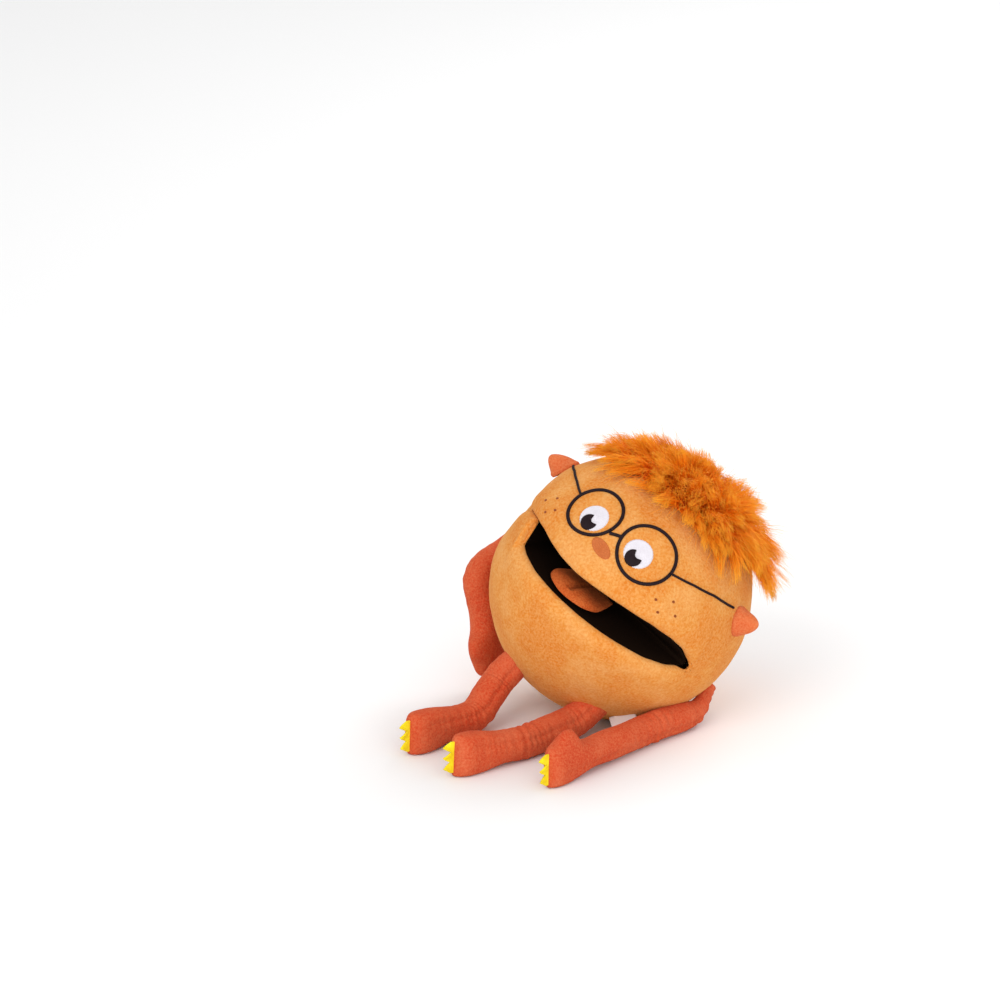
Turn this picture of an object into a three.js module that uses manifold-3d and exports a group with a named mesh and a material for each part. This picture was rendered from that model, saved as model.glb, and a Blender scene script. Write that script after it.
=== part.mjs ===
// Moving-mouth hand puppet: a plush ball that opens across its middle, with four floppy limbs.
// Millimetres, +Z up. The origin is the centre of the flat patch that the ball rests on.
// In the ball's own frame the face looks to -Y, the puppet's left is +X and the crown is +Z.
// The ball leans back and over to its left, as it does when it lies down after play.
import * as THREE from 'three';
import { mergeVertices } from 'three/addons/utils/BufferGeometryUtils.js';
import Module from 'manifold-3d';

const wasm = await Module();
wasm.setup();

// General
const GAP = 0.3; // left between neighbouring pieces
const REACH = 400; // larger than the puppet, for cutting blocks

// Ball
const BALL_RADIUS = 95;
const BALL_SIDES = 28;
const SKIN = 3; // plush with its backing
const STUFFING_RADIUS = BALL_RADIUS - SKIN - GAP;
const REST_FLAT = 5; // how far the belly is pressed flat where it rests
const LEAN_SIDE = 32; // degrees
const LEAN_BACK = 20; // degrees

// Mouth: angles are turned about the hinge line, from straight ahead (0) up and over to the back
const HINGE_Y = -27;
const HINGE_CLEARANCE = 6;
const LIP_ANGLE = 9.6;
const HEAD_BACK_ANGLE = 148;
const BELLY_BACK_ANGLE = 192;
const BOARD = 2.5;
const LINING = 0.8;
const FOLD_ROOM = 12; // from the hinge line to where the linings lie flat on the palates

// Hand opening and pockets
const HAND_ANGLE = 170;
const HAND_HALF_WIDTH = 40;
const HAND_HALF_HEIGHT = 26;
const BINDING_WIDTH = 7;
const POCKET_WALL = 1;
const FINGER_HALF_WIDTH = 38;
const FINGER_FRONT = -70;
const FINGER_FLOOR = 13;
const FINGER_TIP_TOP = 28;
const FINGER_BACK = 70;
const FINGER_BACK_TOP = 61.6;
const THUMB_HALF_WIDTH = 17;
const THUMB_FRONT = -62;
const THUMB_FLOOR = -32;
const THUMB_TOP = -11;
const PALM_BACK = 45;
const PALM_TOP = 20;

// Tongue
const TONGUE_START = 16;
const TONGUE_END = 61;
const TONGUE_HALF_WIDTH = 23;
const TONGUE_TOP_ANGLE = -1.6;

// Face: azimuth from the middle of the face towards the puppet's left, and latitude, in degrees
// On its right the soft head is drawn together and sags, so the face there is closer in and lower
const RIGHT_SHARE = 0.87;
const RIGHT_DROP = 2.1;
const GLASSES_AZIMUTH = 19.5;
const GLASSES_LATITUDE = 33.6;
const GLASSES_RADIUS = 22; // the left ring
const RIGHT_RING_RADIUS = 20.4;
const GLASSES_LINE = 1.25;
const TEMPLE_LINE = 0.85;
const TEMPLE_COURSE = [[50, 34.4], [65, 34.2], [78, 32.5]]; // azimuth, latitude
const BRIDGE_LATITUDE = 32.6;
const TEMPLE_GAP = 1.5; // degrees between a ring and its temple
const BRIDGE_GAP = 1.4; // degrees between a ring and the bridge
const EYE_AZIMUTH = 16;
const EYE_LATITUDE = 31.3;
const PUPIL_LATITUDE = 28.4;
const PUPIL_RADIUS = 6.7;
const GLINT_RISE = 3.6; // degrees above the pupil's centre
const GLINT_HALF_WIDTH = 4;
const GLINT_HALF_HEIGHT = 3;
const EYE_HALF_WIDTH = 11.4;
const EYE_HALF_HEIGHT = 11.1;
const NOSE_AZIMUTH = 0.9;
const NOSE_LATITUDE = 22.2;
const NOSE_HALF_WIDTH = 10;
const NOSE_HALF_HEIGHT = 5.3;
const STITCHING = 1.2; // how far embroidery stands up
const EAR_AZIMUTH = 91;
const EAR_LATITUDE = 26.7;
const EAR_RADIUS = 13;
const EAR_HEIGHT = 19;
const EAR_FLATTENING = 0.62;
const EAR_ROOT = 8; // how deep the cutting form of an ear starts inside the ball
const EAR_ROOM = 1.5; // between an ear and the fur
const HAIR_DEPTH = 12;
const HAIRLINE_HEIGHT = 58.5;
const HAIRLINE_TILT = 29.7;
const FRECKLES = [[35.6, 20], [43.6, 23.4], [39.5, 16], [47.7, 18.6]];
const FRECKLE_RADIUS = 1.2;

const LABEL_AZIMUTH = 64;
const LABEL_LATITUDE = -41;
const LABEL_SIZE = [20, 12, 1];

// Limbs
const ARM_RADIUS = 10;
const LEG_RADIUS = 12;
const JOINT_ROOM = 0.9; // share of its radius that the upper half stops short of a knee or elbow
const JOINT_GAP = 0.5; // round the lower half's ball at a knee or elbow
const PAW_SPREAD = 4.5; // how much wider than its limb a paw or foot is, on each side
const PAW_LENGTH = 7;
const PAW_END = 3; // past the limb's radius, where the paw is cut square for its claws
const THUMB_RADIUS = 0.55; // share of the arm's radius
const THUMB_ROOT = [0.5, -4]; // share of the radius across the paw, and millimetres along it
const THUMB_RISE = 8;
const THUMB_LEAN = -10;
const CLAW_WIDTH = 23;
const CLAW_BAND = 2.5;
const CLAW_LENGTH = 9;
const FELT = 1.6;

const ORANGE = 0xe8964a;
const ORANGE_RED = 0xdc5a30;
const FUR_ORANGE = 0xe67d1e;
const BLACK = 0x1c120f;
const STITCH_DARK = 0x2d1c23;
const STITCH_WHITE = 0xf0ecea;
const STITCH_ORANGE = 0xd98a48;
const STITCH_BROWN = 0x8a4a24;
const TONGUE_BROWN = 0xa8602c;
const FELT_YELLOW = 0xf0dc28;
const LABEL_WHITE = 0xece4df;
const FIBRE_WHITE = 0xf4f2ec;
const BOARD_GREY = 0x3a3a3c;

const radians = THREE.MathUtils.degToRad;

function cloth(color, roughness = 0.95) {
  return new THREE.MeshStandardMaterial({ color, roughness, metalness: 0 });
}

// Solids

function solid(geometry) {
  const bare = geometry.clone();
  bare.deleteAttribute('normal');
  bare.deleteAttribute('uv');
  const merged = mergeVertices(bare, 1e-4);
  const vertProperties = new Float32Array(merged.attributes.position.array);
  const triVerts = new Uint32Array(merged.index.array);
  return new wasm.Manifold(new wasm.Mesh({ numProp: 3, vertProperties, triVerts }));
}

function geometryOf(body) {
  const mesh = body.getMesh();
  const geometry = new THREE.BufferGeometry();
  geometry.setAttribute('position', new THREE.BufferAttribute(mesh.vertProperties, 3));
  geometry.setIndex(new THREE.BufferAttribute(mesh.triVerts, 1));
  geometry.computeVertexNormals();
  return geometry;
}

function addPart(parent, name, body, material) {
  const mesh = new THREE.Mesh(geometryOf(body), material);
  mesh.name = name;
  parent.add(mesh);
}

function joined(bodies) {
  return bodies.reduce((whole, body) => whole.add(body));
}

function common(bodies) {
  return bodies.reduce((whole, body) => whole.intersect(body));
}

function sphere(radius) {
  return solid(new THREE.SphereGeometry(radius, BALL_SIDES, BALL_SIDES / 2));
}

function shell(inner, outer) {
  return sphere(outer).subtract(sphere(inner));
}

// The ball's frame against the floor
const ball = new THREE.Group();
ball.position.set(0, 0, BALL_RADIUS - REST_FLAT);
ball.rotation.set(radians(-LEAN_BACK), radians(LEAN_SIDE), 0, 'XYZ');
ball.updateMatrix();

// Everything above a height over the floor, in the ball's frame
function aboveFloor(height) {
  const block = new THREE.BoxGeometry(REACH, REACH, REACH);
  block.translate(0, 0, height + REACH / 2);
  block.applyMatrix4(ball.matrix.clone().invert());
  return solid(block);
}

// A block in a frame at the hinge line that is turned up by an angle: ahead is its -Y
function hingeBlock(angle, [yLow, yHigh], [zLow, zHigh]) {
  const block = new THREE.BoxGeometry(REACH, yHigh - yLow, zHigh - zLow);
  block.translate(0, (yLow + yHigh) / 2, (zLow + zHigh) / 2);
  return solid(turnedAtHinge(block, angle));
}

function turnedAtHinge(geometry, angle) {
  geometry.rotateX(radians(-angle));
  geometry.translate(0, HINGE_Y, 0);
  return geometry;
}

function pastAngle(angle, gap = GAP / 2) {
  return hingeBlock(angle, [-REACH, REACH], [gap, REACH]);
}

function beforeAngle(angle, gap = GAP / 2) {
  return hingeBlock(angle, [-REACH, REACH], [-REACH, -gap]);
}

function hingeRod(radius) {
  const rod = new THREE.CylinderGeometry(radius, radius, REACH, 12);
  rod.rotateZ(Math.PI / 2);
  rod.translate(0, HINGE_Y, 0);
  return solid(rod);
}

// Places on the ball

// A frame on the ball: X to the puppet's left along the surface, Y up along it, Z outward
function ballFrame(azimuth, latitude, distance) {
  const [a, b] = [radians(azimuth), radians(latitude)];
  const outward = new THREE.Vector3(Math.cos(b) * Math.sin(a), -Math.cos(b) * Math.cos(a), Math.sin(b));
  const east = new THREE.Vector3(Math.cos(a), Math.sin(a), 0);
  const north = new THREE.Vector3().crossVectors(outward, east);
  return new THREE.Matrix4().makeBasis(east, north, outward).setPosition(outward.multiplyScalar(distance));
}

function pointOnBall(azimuth, latitude, distance) {
  return new THREE.Vector3().setFromMatrixPosition(ballFrame(azimuth, latitude, distance));
}

// Where a place of the face is on the puppet's left (sign 1) or its right (sign -1)
function facePlace(sign, azimuth, latitude) {
  return sign > 0 ? [azimuth, latitude] : [-RIGHT_SHARE * azimuth, latitude - RIGHT_DROP];
}

// A patch of an oval outline that lies on the ball, between two radii
function ovalPatch(azimuth, latitude, halfWidth, halfHeight, inner, outer) {
  const prism = new THREE.CylinderGeometry(1, 1, BALL_RADIUS / 2, 20);
  prism.rotateX(Math.PI / 2);
  prism.scale(halfWidth, halfHeight, 1);
  prism.applyMatrix4(ballFrame(azimuth, latitude, BALL_RADIUS));
  return shell(inner, outer).intersect(solid(prism));
}

function stitchedLine(points, radius) {
  const section = new THREE.Shape().absarc(0, 0, radius, 0, 2 * Math.PI);
  const extrudePath = new THREE.CatmullRomCurve3(points);
  const steps = 4 * (points.length - 1);
  return solid(new THREE.ExtrudeGeometry(section, { curveSegments: 3, steps, extrudePath }));
}

// Head

function headWedge(lowGap, backGap) {
  return pastAngle(LIP_ANGLE, lowGap).intersect(beforeAngle(HEAD_BACK_ANGLE, backGap));
}

// The finger pocket's outline from the side, closed behind the head's back edge
function fingerRoom(inset) {
  const side = new THREE.Shape([
    new THREE.Vector2(FINGER_FRONT + inset, FINGER_FLOOR + inset),
    new THREE.Vector2(FINGER_BACK, FINGER_FLOOR + inset),
    new THREE.Vector2(FINGER_BACK, FINGER_BACK_TOP - inset),
    new THREE.Vector2(FINGER_FRONT + inset, FINGER_TIP_TOP - inset),
  ]);
  return sideExtrusion(side, FINGER_HALF_WIDTH - inset);
}

// Extrudes an outline of (y, z) points across the ball
function sideExtrusion(side, halfWidth) {
  const block = new THREE.ExtrudeGeometry(side, { depth: 2 * halfWidth, bevelEnabled: false });
  block.translate(0, 0, -halfWidth);
  block.rotateY(Math.PI / 2);
  block.rotateX(Math.PI / 2);
  return solid(block);
}

function addHeadCore() {
  const skin = common([shell(BALL_RADIUS - SKIN, BALL_RADIUS), headWedge(0, GAP / 2)]);
  addPart(ball, 'head_skin', skin.subtract(hingeRod(HINGE_CLEARANCE)), cloth(ORANGE));
  const stuffing = sphere(STUFFING_RADIUS).intersect(headWedge(BOARD + GAP, SKIN));
  const room = hingeRod(HINGE_CLEARANCE).add(fingerRoom(0));
  addPart(ball, 'head_stuffing', stuffing.subtract(room), cloth(FIBRE_WHITE));
  const sleeve = fingerRoom(GAP).subtract(fingerRoom(GAP + POCKET_WALL));
  const pocketEnd = sphere(STUFFING_RADIUS).intersect(beforeAngle(HEAD_BACK_ANGLE, SKIN));
  addPart(ball, 'finger_pocket', sleeve.intersect(pocketEnd), cloth(BLACK));
}

function addPalates() {
  const ahead = [-REACH, -HINGE_CLEARANCE - GAP];
  const upper = sphere(STUFFING_RADIUS).intersect(hingeBlock(LIP_ANGLE, ahead, [0, BOARD]));
  const lower = sphere(STUFFING_RADIUS).intersect(hingeBlock(-LIP_ANGLE, ahead, [-BOARD, 0]));
  addPart(ball, 'upper_palate', upper, cloth(BOARD_GREY, 0.6));
  addPart(ball, 'lower_palate', lower, cloth(BOARD_GREY, 0.6));
  const pastFold = [-REACH, -FOLD_ROOM];
  const top = hingeBlock(LIP_ANGLE, pastFold, [-GAP - LINING, -GAP]);
  const bottom = hingeBlock(-LIP_ANGLE, pastFold, [GAP, GAP + LINING]);
  addPart(ball, 'mouth_lining_upper', sphere(STUFFING_RADIUS).intersect(top), cloth(BLACK));
  addPart(ball, 'mouth_lining_lower', sphere(STUFFING_RADIUS).intersect(bottom), cloth(BLACK));
  const roll = hingeRod(HINGE_CLEARANCE - GAP).subtract(hingeRod(HINGE_CLEARANCE - GAP - LINING));
  const fold = roll.subtract(hingeBlock(0, [-REACH, 0], [-2, 2])).intersect(sphere(STUFFING_RADIUS));
  addPart(ball, 'mouth_lining_fold', fold, cloth(BLACK));
}

function addEyes() {
  for (const [side, sign] of [['left', 1], ['right', -1]]) {
    const low = BALL_RADIUS + GAP;
    const eye = facePlace(sign, EYE_AZIMUTH, EYE_LATITUDE);
    const white = ovalPatch(...eye, EYE_HALF_WIDTH, EYE_HALF_HEIGHT, low, low + STITCHING);
    addPart(ball, `eye_white_${side}`, white, cloth(STITCH_WHITE, 0.6));
    const top = low + STITCHING + GAP;
    const pupil = facePlace(sign, EYE_AZIMUTH, PUPIL_LATITUDE);
    const disc = ovalPatch(...pupil, PUPIL_RADIUS, PUPIL_RADIUS, top, top + STITCHING);
    const bite = facePlace(sign, EYE_AZIMUTH, PUPIL_LATITUDE + GLINT_RISE);
    const glint = ovalPatch(...bite, GLINT_HALF_WIDTH, GLINT_HALF_HEIGHT, BALL_RADIUS, top + 2 * STITCHING);
    addPart(ball, `pupil_${side}`, disc.subtract(glint), cloth(STITCH_DARK, 0.6));
  }
}

function addGlasses() {
  const line = BALL_RADIUS + GAP + GLASSES_LINE;
  const lineRadius = line * Math.cos(radians(GLASSES_LATITUDE));
  const sideways = (radius) => THREE.MathUtils.radToDeg(radius / lineRadius);
  for (const [side, sign, radius] of [['left', 1, GLASSES_RADIUS], ['right', -1, RIGHT_RING_RADIUS]]) {
    const ring = new THREE.TorusGeometry(radius, GLASSES_LINE, 5, 24);
    const ringHeight = Math.sqrt(line * line - radius * radius);
    ring.applyMatrix4(ballFrame(...facePlace(sign, GLASSES_AZIMUTH, GLASSES_LATITUDE), ringHeight));
    addPart(ball, `glasses_ring_${side}`, solid(ring), cloth(STITCH_DARK, 0.6));
    const start = GLASSES_AZIMUTH + (sideways(radius) + TEMPLE_GAP) / (sign > 0 ? 1 : RIGHT_SHARE);
    const places = [[start, GLASSES_LATITUDE], ...TEMPLE_COURSE];
    const height = BALL_RADIUS + GAP + TEMPLE_LINE;
    const points = places.map((place) => pointOnBall(...facePlace(sign, ...place), height));
    addPart(ball, `glasses_temple_${side}`, stitchedLine(points, TEMPLE_LINE), cloth(STITCH_DARK, 0.6));
  }
  const right = -RIGHT_SHARE * GLASSES_AZIMUTH + sideways(RIGHT_RING_RADIUS) + BRIDGE_GAP;
  const left = GLASSES_AZIMUTH - sideways(GLASSES_RADIUS) - BRIDGE_GAP;
  const course = [
    [right, BRIDGE_LATITUDE - RIGHT_DROP],
    [(left + right) / 2, BRIDGE_LATITUDE - RIGHT_DROP / 2],
    [left, BRIDGE_LATITUDE],
  ];
  const points = course.map((place) => pointOnBall(...place, line));
  addPart(ball, 'glasses_bridge', stitchedLine(points, GLASSES_LINE), cloth(STITCH_DARK, 0.6));
}

function addNoseAndFreckles() {
  const low = BALL_RADIUS + GAP;
  const nose = ovalPatch(NOSE_AZIMUTH, NOSE_LATITUDE, NOSE_HALF_WIDTH, NOSE_HALF_HEIGHT, low, low + STITCHING);
  addPart(ball, 'nose_patch', nose, cloth(STITCH_ORANGE, 0.7));
  for (const [side, sign] of [['left', 1], ['right', -1]]) {
    FRECKLES.forEach(([azimuth, latitude], index) => {
      const dot = new THREE.CylinderGeometry(FRECKLE_RADIUS, FRECKLE_RADIUS, STITCHING, 8);
      dot.rotateX(Math.PI / 2);
      dot.applyMatrix4(ballFrame(...facePlace(sign, azimuth, latitude), low + STITCHING / 2));
      addPart(ball, `freckle_${side}_${index + 1}`, solid(dot), cloth(STITCH_BROWN, 0.7));
    });
  }
}

function addEars() {
  const foot = [[0, -EAR_ROOT], [EAR_RADIUS, -EAR_ROOT], [EAR_RADIUS, 0]];
  const profile = foot.map((place) => new THREE.Vector2(...place));
  for (let step = 1; step < 6; step += 1) {
    const turn = (step / 6) * (Math.PI / 2);
    profile.push(new THREE.Vector2(EAR_RADIUS * Math.cos(turn), EAR_HEIGHT * Math.sin(turn)));
  }
  profile.push(new THREE.Vector2(0, EAR_HEIGHT));
  for (const [side, sign] of [['left', 1], ['right', -1]]) {
    const ear = new THREE.LatheGeometry(profile, 14);
    ear.rotateX(Math.PI / 2);
    ear.scale(EAR_FLATTENING, 1, 1);
    ear.applyMatrix4(ballFrame(...facePlace(sign, EAR_AZIMUTH, EAR_LATITUDE), BALL_RADIUS));
    addPart(ball, `ear_${side}`, solid(ear).subtract(sphere(BALL_RADIUS + GAP)), cloth(ORANGE_RED));
  }
}

// The fur is cut away round each ear
function earRoom(sign) {
  const [halfWidth, halfHeight] = [EAR_RADIUS * EAR_FLATTENING + EAR_ROOM, EAR_RADIUS + EAR_ROOM];
  const place = facePlace(sign, EAR_AZIMUTH, EAR_LATITUDE);
  return ovalPatch(...place, halfWidth, halfHeight, BALL_RADIUS, BALL_RADIUS + 2 * HAIR_DEPTH);
}

function addHair() {
  const block = new THREE.BoxGeometry(REACH, REACH, REACH);
  block.translate(0, 0, REACH / 2);
  block.rotateX(radians(-HAIRLINE_TILT));
  block.translate(0, 0, HAIRLINE_HEIGHT);
  const top = BALL_RADIUS + HAIR_DEPTH;
  const cap = common([shell(BALL_RADIUS + GAP, top), solid(block), beforeAngle(HEAD_BACK_ANGLE)]);
  addPart(ball, 'hair_patch', cap.subtract(earRoom(1)).subtract(earRoom(-1)), cloth(FUR_ORANGE));
}

// Belly

// The belly's wedge lies under the hinge line, from the lower lip round to the back panel
function bellyWedge(lowGap, backGap) {
  return beforeAngle(-LIP_ANGLE, lowGap).intersect(pastAngle(BELLY_BACK_ANGLE, backGap));
}

function thumbRoom(inset) {
  const side = new THREE.Shape([
    new THREE.Vector2(THUMB_FRONT + inset, THUMB_FLOOR + inset),
    new THREE.Vector2(PALM_BACK - inset, THUMB_FLOOR + inset),
    new THREE.Vector2(PALM_BACK - inset, PALM_TOP),
    new THREE.Vector2(inset, PALM_TOP),
    new THREE.Vector2(inset, THUMB_TOP - inset),
    new THREE.Vector2(THUMB_FRONT + inset, THUMB_TOP - inset),
  ]);
  return sideExtrusion(side, THUMB_HALF_WIDTH - inset);
}

function addBellyCore() {
  const outside = sphere(BALL_RADIUS).intersect(aboveFloor(0));
  const inside = sphere(BALL_RADIUS - SKIN).intersect(aboveFloor(SKIN));
  const skin = outside.subtract(inside).intersect(bellyWedge(0, GAP / 2));
  addPart(ball, 'belly_skin', skin.subtract(hingeRod(HINGE_CLEARANCE)), cloth(ORANGE));
  const filling = common([sphere(STUFFING_RADIUS), aboveFloor(SKIN + GAP), bellyWedge(BOARD + GAP, GAP / 2)]);
  const room = hingeRod(HINGE_CLEARANCE).add(thumbRoom(0));
  addPart(ball, 'belly_stuffing', filling.subtract(room), cloth(FIBRE_WHITE));
  const sleeve = thumbRoom(GAP).subtract(thumbRoom(GAP + POCKET_WALL));
  const inBelly = pastAngle(BELLY_BACK_ANGLE, GAP / 2);
  addPart(ball, 'thumb_pocket', sleeve.intersect(inBelly), cloth(BLACK));
}

function addTongue() {
  const shape = new THREE.Shape();
  shape.moveTo(-TONGUE_HALF_WIDTH * 0.8, -TONGUE_START);
  shape.lineTo(TONGUE_HALF_WIDTH * 0.8, -TONGUE_START);
  shape.lineTo(TONGUE_HALF_WIDTH, -TONGUE_END + TONGUE_HALF_WIDTH);
  shape.absarc(0, -TONGUE_END + TONGUE_HALF_WIDTH, TONGUE_HALF_WIDTH, 0, -Math.PI, true);
  shape.closePath();
  const depth = TONGUE_HALF_WIDTH;
  const block = new THREE.ExtrudeGeometry(shape, { depth, bevelEnabled: false, curveSegments: 12 });
  block.translate(0, 0, LINING + 2 * GAP);
  const pad = solid(turnedAtHinge(block, -LIP_ANGLE));
  addPart(ball, 'tongue', pad.intersect(beforeAngle(TONGUE_TOP_ANGLE, 0)), cloth(TONGUE_BROWN));
}

// An upright oval column that leaves the back of the ball where the hand goes in
function handColumn(margin) {
  const column = new THREE.CylinderGeometry(1, 1, REACH, 24);
  column.translate(0, -REACH / 2, 0);
  column.scale(HAND_HALF_WIDTH + margin, 1, HAND_HALF_HEIGHT + margin);
  return solid(turnedAtHinge(column, HAND_ANGLE));
}

function addBack() {
  const backWedge = pastAngle(HEAD_BACK_ANGLE).intersect(beforeAngle(BELLY_BACK_ANGLE));
  const panel = shell(BALL_RADIUS - SKIN, BALL_RADIUS).intersect(backWedge).subtract(handColumn(0));
  addPart(ball, 'back_panel', panel.subtract(hingeRod(HINGE_CLEARANCE)), cloth(ORANGE));
  const band = handColumn(BINDING_WIDTH).subtract(handColumn(0));
  const binding = shell(BALL_RADIUS + GAP, BALL_RADIUS + GAP + SKIN).intersect(band);
  addPart(ball, 'opening_binding', binding, cloth(ORANGE_RED));
}

// Limbs, in the floor's frame: each has an upper half, a lower half with its paw or foot, and claws

const LIMBS = {
  arm_left: { root: [66, -10, 9.3], joint: [52, -52, 9.3], tip: [31, -155, 15] },
  arm_right: { root: [-95, 43, 113], joint: [-119, -10, 88], tip: [-99, -16, 26] },
  leg_left: { root: [-1, -74, 11.3], joint: [-14, -118, 11.3], tip: [-35, -161, 14.3] },
  leg_right: { root: [-66, -66, 36], joint: [-70, -96, 11.3], tip: [-85, -143, 14.3] },
};

function capsule(from, to, radius) {
  const length = from.distanceTo(to);
  const rod = new THREE.CapsuleGeometry(radius, length, 3, 10);
  const turn = new THREE.Quaternion().setFromUnitVectors(
    new THREE.Vector3(0, 1, 0),
    to.clone().sub(from).normalize(),
  );
  rod.applyQuaternion(turn);
  rod.translate(...from.clone().add(to).multiplyScalar(0.5));
  return solid(rod);
}

function roundEnd(centre, radius) {
  const end = new THREE.SphereGeometry(radius, 12, 8);
  end.translate(...centre);
  return solid(end);
}

// A frame at a limb's tip: X up across the paw, Y on along the limb, Z through its thickness
function tipFrame(joint, tip) {
  const along = tip.clone().sub(joint).normalize();
  const reference = Math.abs(along.z) > 0.8 ? new THREE.Vector3(0, -1, 0) : new THREE.Vector3(0, 0, 1);
  const through = new THREE.Vector3().crossVectors(reference, along).normalize();
  const across = new THREE.Vector3().crossVectors(along, through);
  return new THREE.Matrix4().makeBasis(across, along, through).setPosition(tip);
}

function pad(frame, radius) {
  const mitt = new THREE.SphereGeometry(1, 14, 8);
  mitt.scale(radius + PAW_SPREAD, radius + PAW_LENGTH, radius);
  mitt.applyMatrix4(frame);
  return solid(mitt);
}

function thumb(frame, radius) {
  const from = new THREE.Vector3(radius * THUMB_ROOT[0], THUMB_ROOT[1], 0).applyMatrix4(frame);
  const to = new THREE.Vector3(radius + THUMB_RISE, THUMB_LEAN, 0).applyMatrix4(frame);
  return capsule(from, to, radius * THUMB_RADIUS);
}

// Cuts a paw off square, where its claws are sewn in
function clawEnd(frame, distance) {
  const block = new THREE.BoxGeometry(REACH, REACH, REACH);
  block.translate(0, distance + REACH / 2, 0);
  block.applyMatrix4(frame);
  return solid(block);
}

function clawStrip(frame, distance) {
  const shape = new THREE.Shape();
  const tooth = CLAW_WIDTH / 3;
  shape.moveTo(-CLAW_WIDTH / 2, 0);
  shape.lineTo(CLAW_WIDTH / 2, 0);
  for (let index = 0; index < 3; index += 1) {
    const right = CLAW_WIDTH / 2 - index * tooth;
    shape.lineTo(right, CLAW_BAND);
    shape.lineTo(right - tooth / 2, CLAW_LENGTH);
  }
  shape.lineTo(-CLAW_WIDTH / 2, CLAW_BAND);
  shape.closePath();
  const strip = new THREE.ExtrudeGeometry(shape, { depth: FELT, bevelEnabled: false });
  strip.translate(0, distance + GAP, -FELT / 2);
  strip.applyMatrix4(frame);
  return solid(strip);
}

function floorBlock() {
  const block = new THREE.BoxGeometry(2 * REACH, 2 * REACH, REACH);
  block.translate(0, 0, -REACH / 2);
  return solid(block);
}

function addLimb(parent, name, limb) {
  const [root, joint, tip] = [limb.root, limb.joint, limb.tip].map((place) => new THREE.Vector3(...place));
  const isArm = name.startsWith('arm');
  const radius = isArm ? ARM_RADIUS : LEG_RADIUS;
  const shortened = joint.clone().lerp(root, (JOINT_ROOM * radius) / joint.distanceTo(root));
  const endCut = clawEnd(tipFrame(root, shortened), 0);
  const upper = capsule(root, joint, radius).subtract(endCut).subtract(roundEnd(joint, radius + JOINT_GAP));
  addPart(parent, `${name}_upper`, upper.subtract(floorBlock()), cloth(ORANGE_RED));
  const frame = tipFrame(joint, tip);
  const squareAt = radius + PAW_END;
  const pieces = [capsule(joint, tip, radius), pad(frame, radius)];
  if (isArm) pieces.push(thumb(frame, radius));
  const lower = joined(pieces).subtract(clawEnd(frame, squareAt)).subtract(floorBlock());
  addPart(parent, `${name}_lower`, lower, cloth(ORANGE_RED));
  addPart(parent, `${name}_claws`, clawStrip(frame, squareAt), cloth(FELT_YELLOW, 0.9));
}

function addLabel() {
  const tag = new THREE.BoxGeometry(...LABEL_SIZE);
  tag.translate(0, LABEL_SIZE[1] / 2, 0);
  tag.rotateX(Math.PI / 2);
  tag.applyMatrix4(ballFrame(LABEL_AZIMUTH, LABEL_LATITUDE, BALL_RADIUS + GAP));
  addPart(ball, 'care_label', solid(tag), cloth(LABEL_WHITE, 0.8));
}

const puppet = new THREE.Group();
puppet.add(ball);
addHeadCore();
addPalates();
addEyes();
addGlasses();
addNoseAndFreckles();
addEars();
addHair();
addBellyCore();
addTongue();
addBack();
addLabel();
for (const [name, limb] of Object.entries(LIMBS)) addLimb(puppet, name, limb);

export default puppet;
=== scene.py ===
"""Looks of the moving-mouth hand puppet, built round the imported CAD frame."""
import math

import bpy
import numpy as np
from mathutils import Matrix, Vector, noise


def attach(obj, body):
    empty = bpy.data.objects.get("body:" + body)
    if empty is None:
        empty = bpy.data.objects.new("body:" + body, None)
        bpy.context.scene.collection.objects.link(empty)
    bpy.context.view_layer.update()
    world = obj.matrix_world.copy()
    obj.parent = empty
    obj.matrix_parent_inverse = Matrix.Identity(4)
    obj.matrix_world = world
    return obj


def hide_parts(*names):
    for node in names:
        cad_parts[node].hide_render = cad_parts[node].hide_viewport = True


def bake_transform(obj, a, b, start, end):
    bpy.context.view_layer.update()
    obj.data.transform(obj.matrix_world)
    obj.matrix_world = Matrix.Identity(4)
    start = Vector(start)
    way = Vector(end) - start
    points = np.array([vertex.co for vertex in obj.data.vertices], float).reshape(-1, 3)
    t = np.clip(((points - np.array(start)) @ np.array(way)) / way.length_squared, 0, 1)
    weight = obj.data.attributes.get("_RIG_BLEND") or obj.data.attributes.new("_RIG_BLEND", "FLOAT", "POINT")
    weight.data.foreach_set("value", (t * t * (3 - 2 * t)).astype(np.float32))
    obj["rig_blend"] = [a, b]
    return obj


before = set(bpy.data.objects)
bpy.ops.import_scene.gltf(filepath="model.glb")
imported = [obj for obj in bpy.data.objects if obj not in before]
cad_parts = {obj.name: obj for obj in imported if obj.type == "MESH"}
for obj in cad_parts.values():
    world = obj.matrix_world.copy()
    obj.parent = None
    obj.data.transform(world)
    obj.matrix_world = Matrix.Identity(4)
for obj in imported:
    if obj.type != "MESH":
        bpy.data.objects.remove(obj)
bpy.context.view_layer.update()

MM = 0.001

# Driving dimensions, in millimetres and degrees, as in the CAD source
BALL_RADIUS = 95.0
BALL_HEIGHT = 90.0
LEAN_SIDE = 32.0
LEAN_BACK = 20.0
HINGE_Y = -27.0
LIP_ANGLE = 9.6
HEAD_BACK = 148.0
BELLY_BACK = 192.0
SKIN = 2.4

BALL = (Matrix.Translation((0, 0, BALL_HEIGHT)) @ Matrix.Rotation(math.radians(-LEAN_BACK), 4, "X")
        @ Matrix.Rotation(math.radians(LEAN_SIDE), 4, "Y"))
BALL_TURN = np.array(BALL.to_3x3())
BALL_CENTRE = np.array(BALL.translation)


# ---------------------------------------------------------------- numbers

def smooth(value, low, high):
    t = np.clip((np.asarray(value, float) - low) / (high - low), 0, 1)
    return t * t * (3 - 2 * t)


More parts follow.
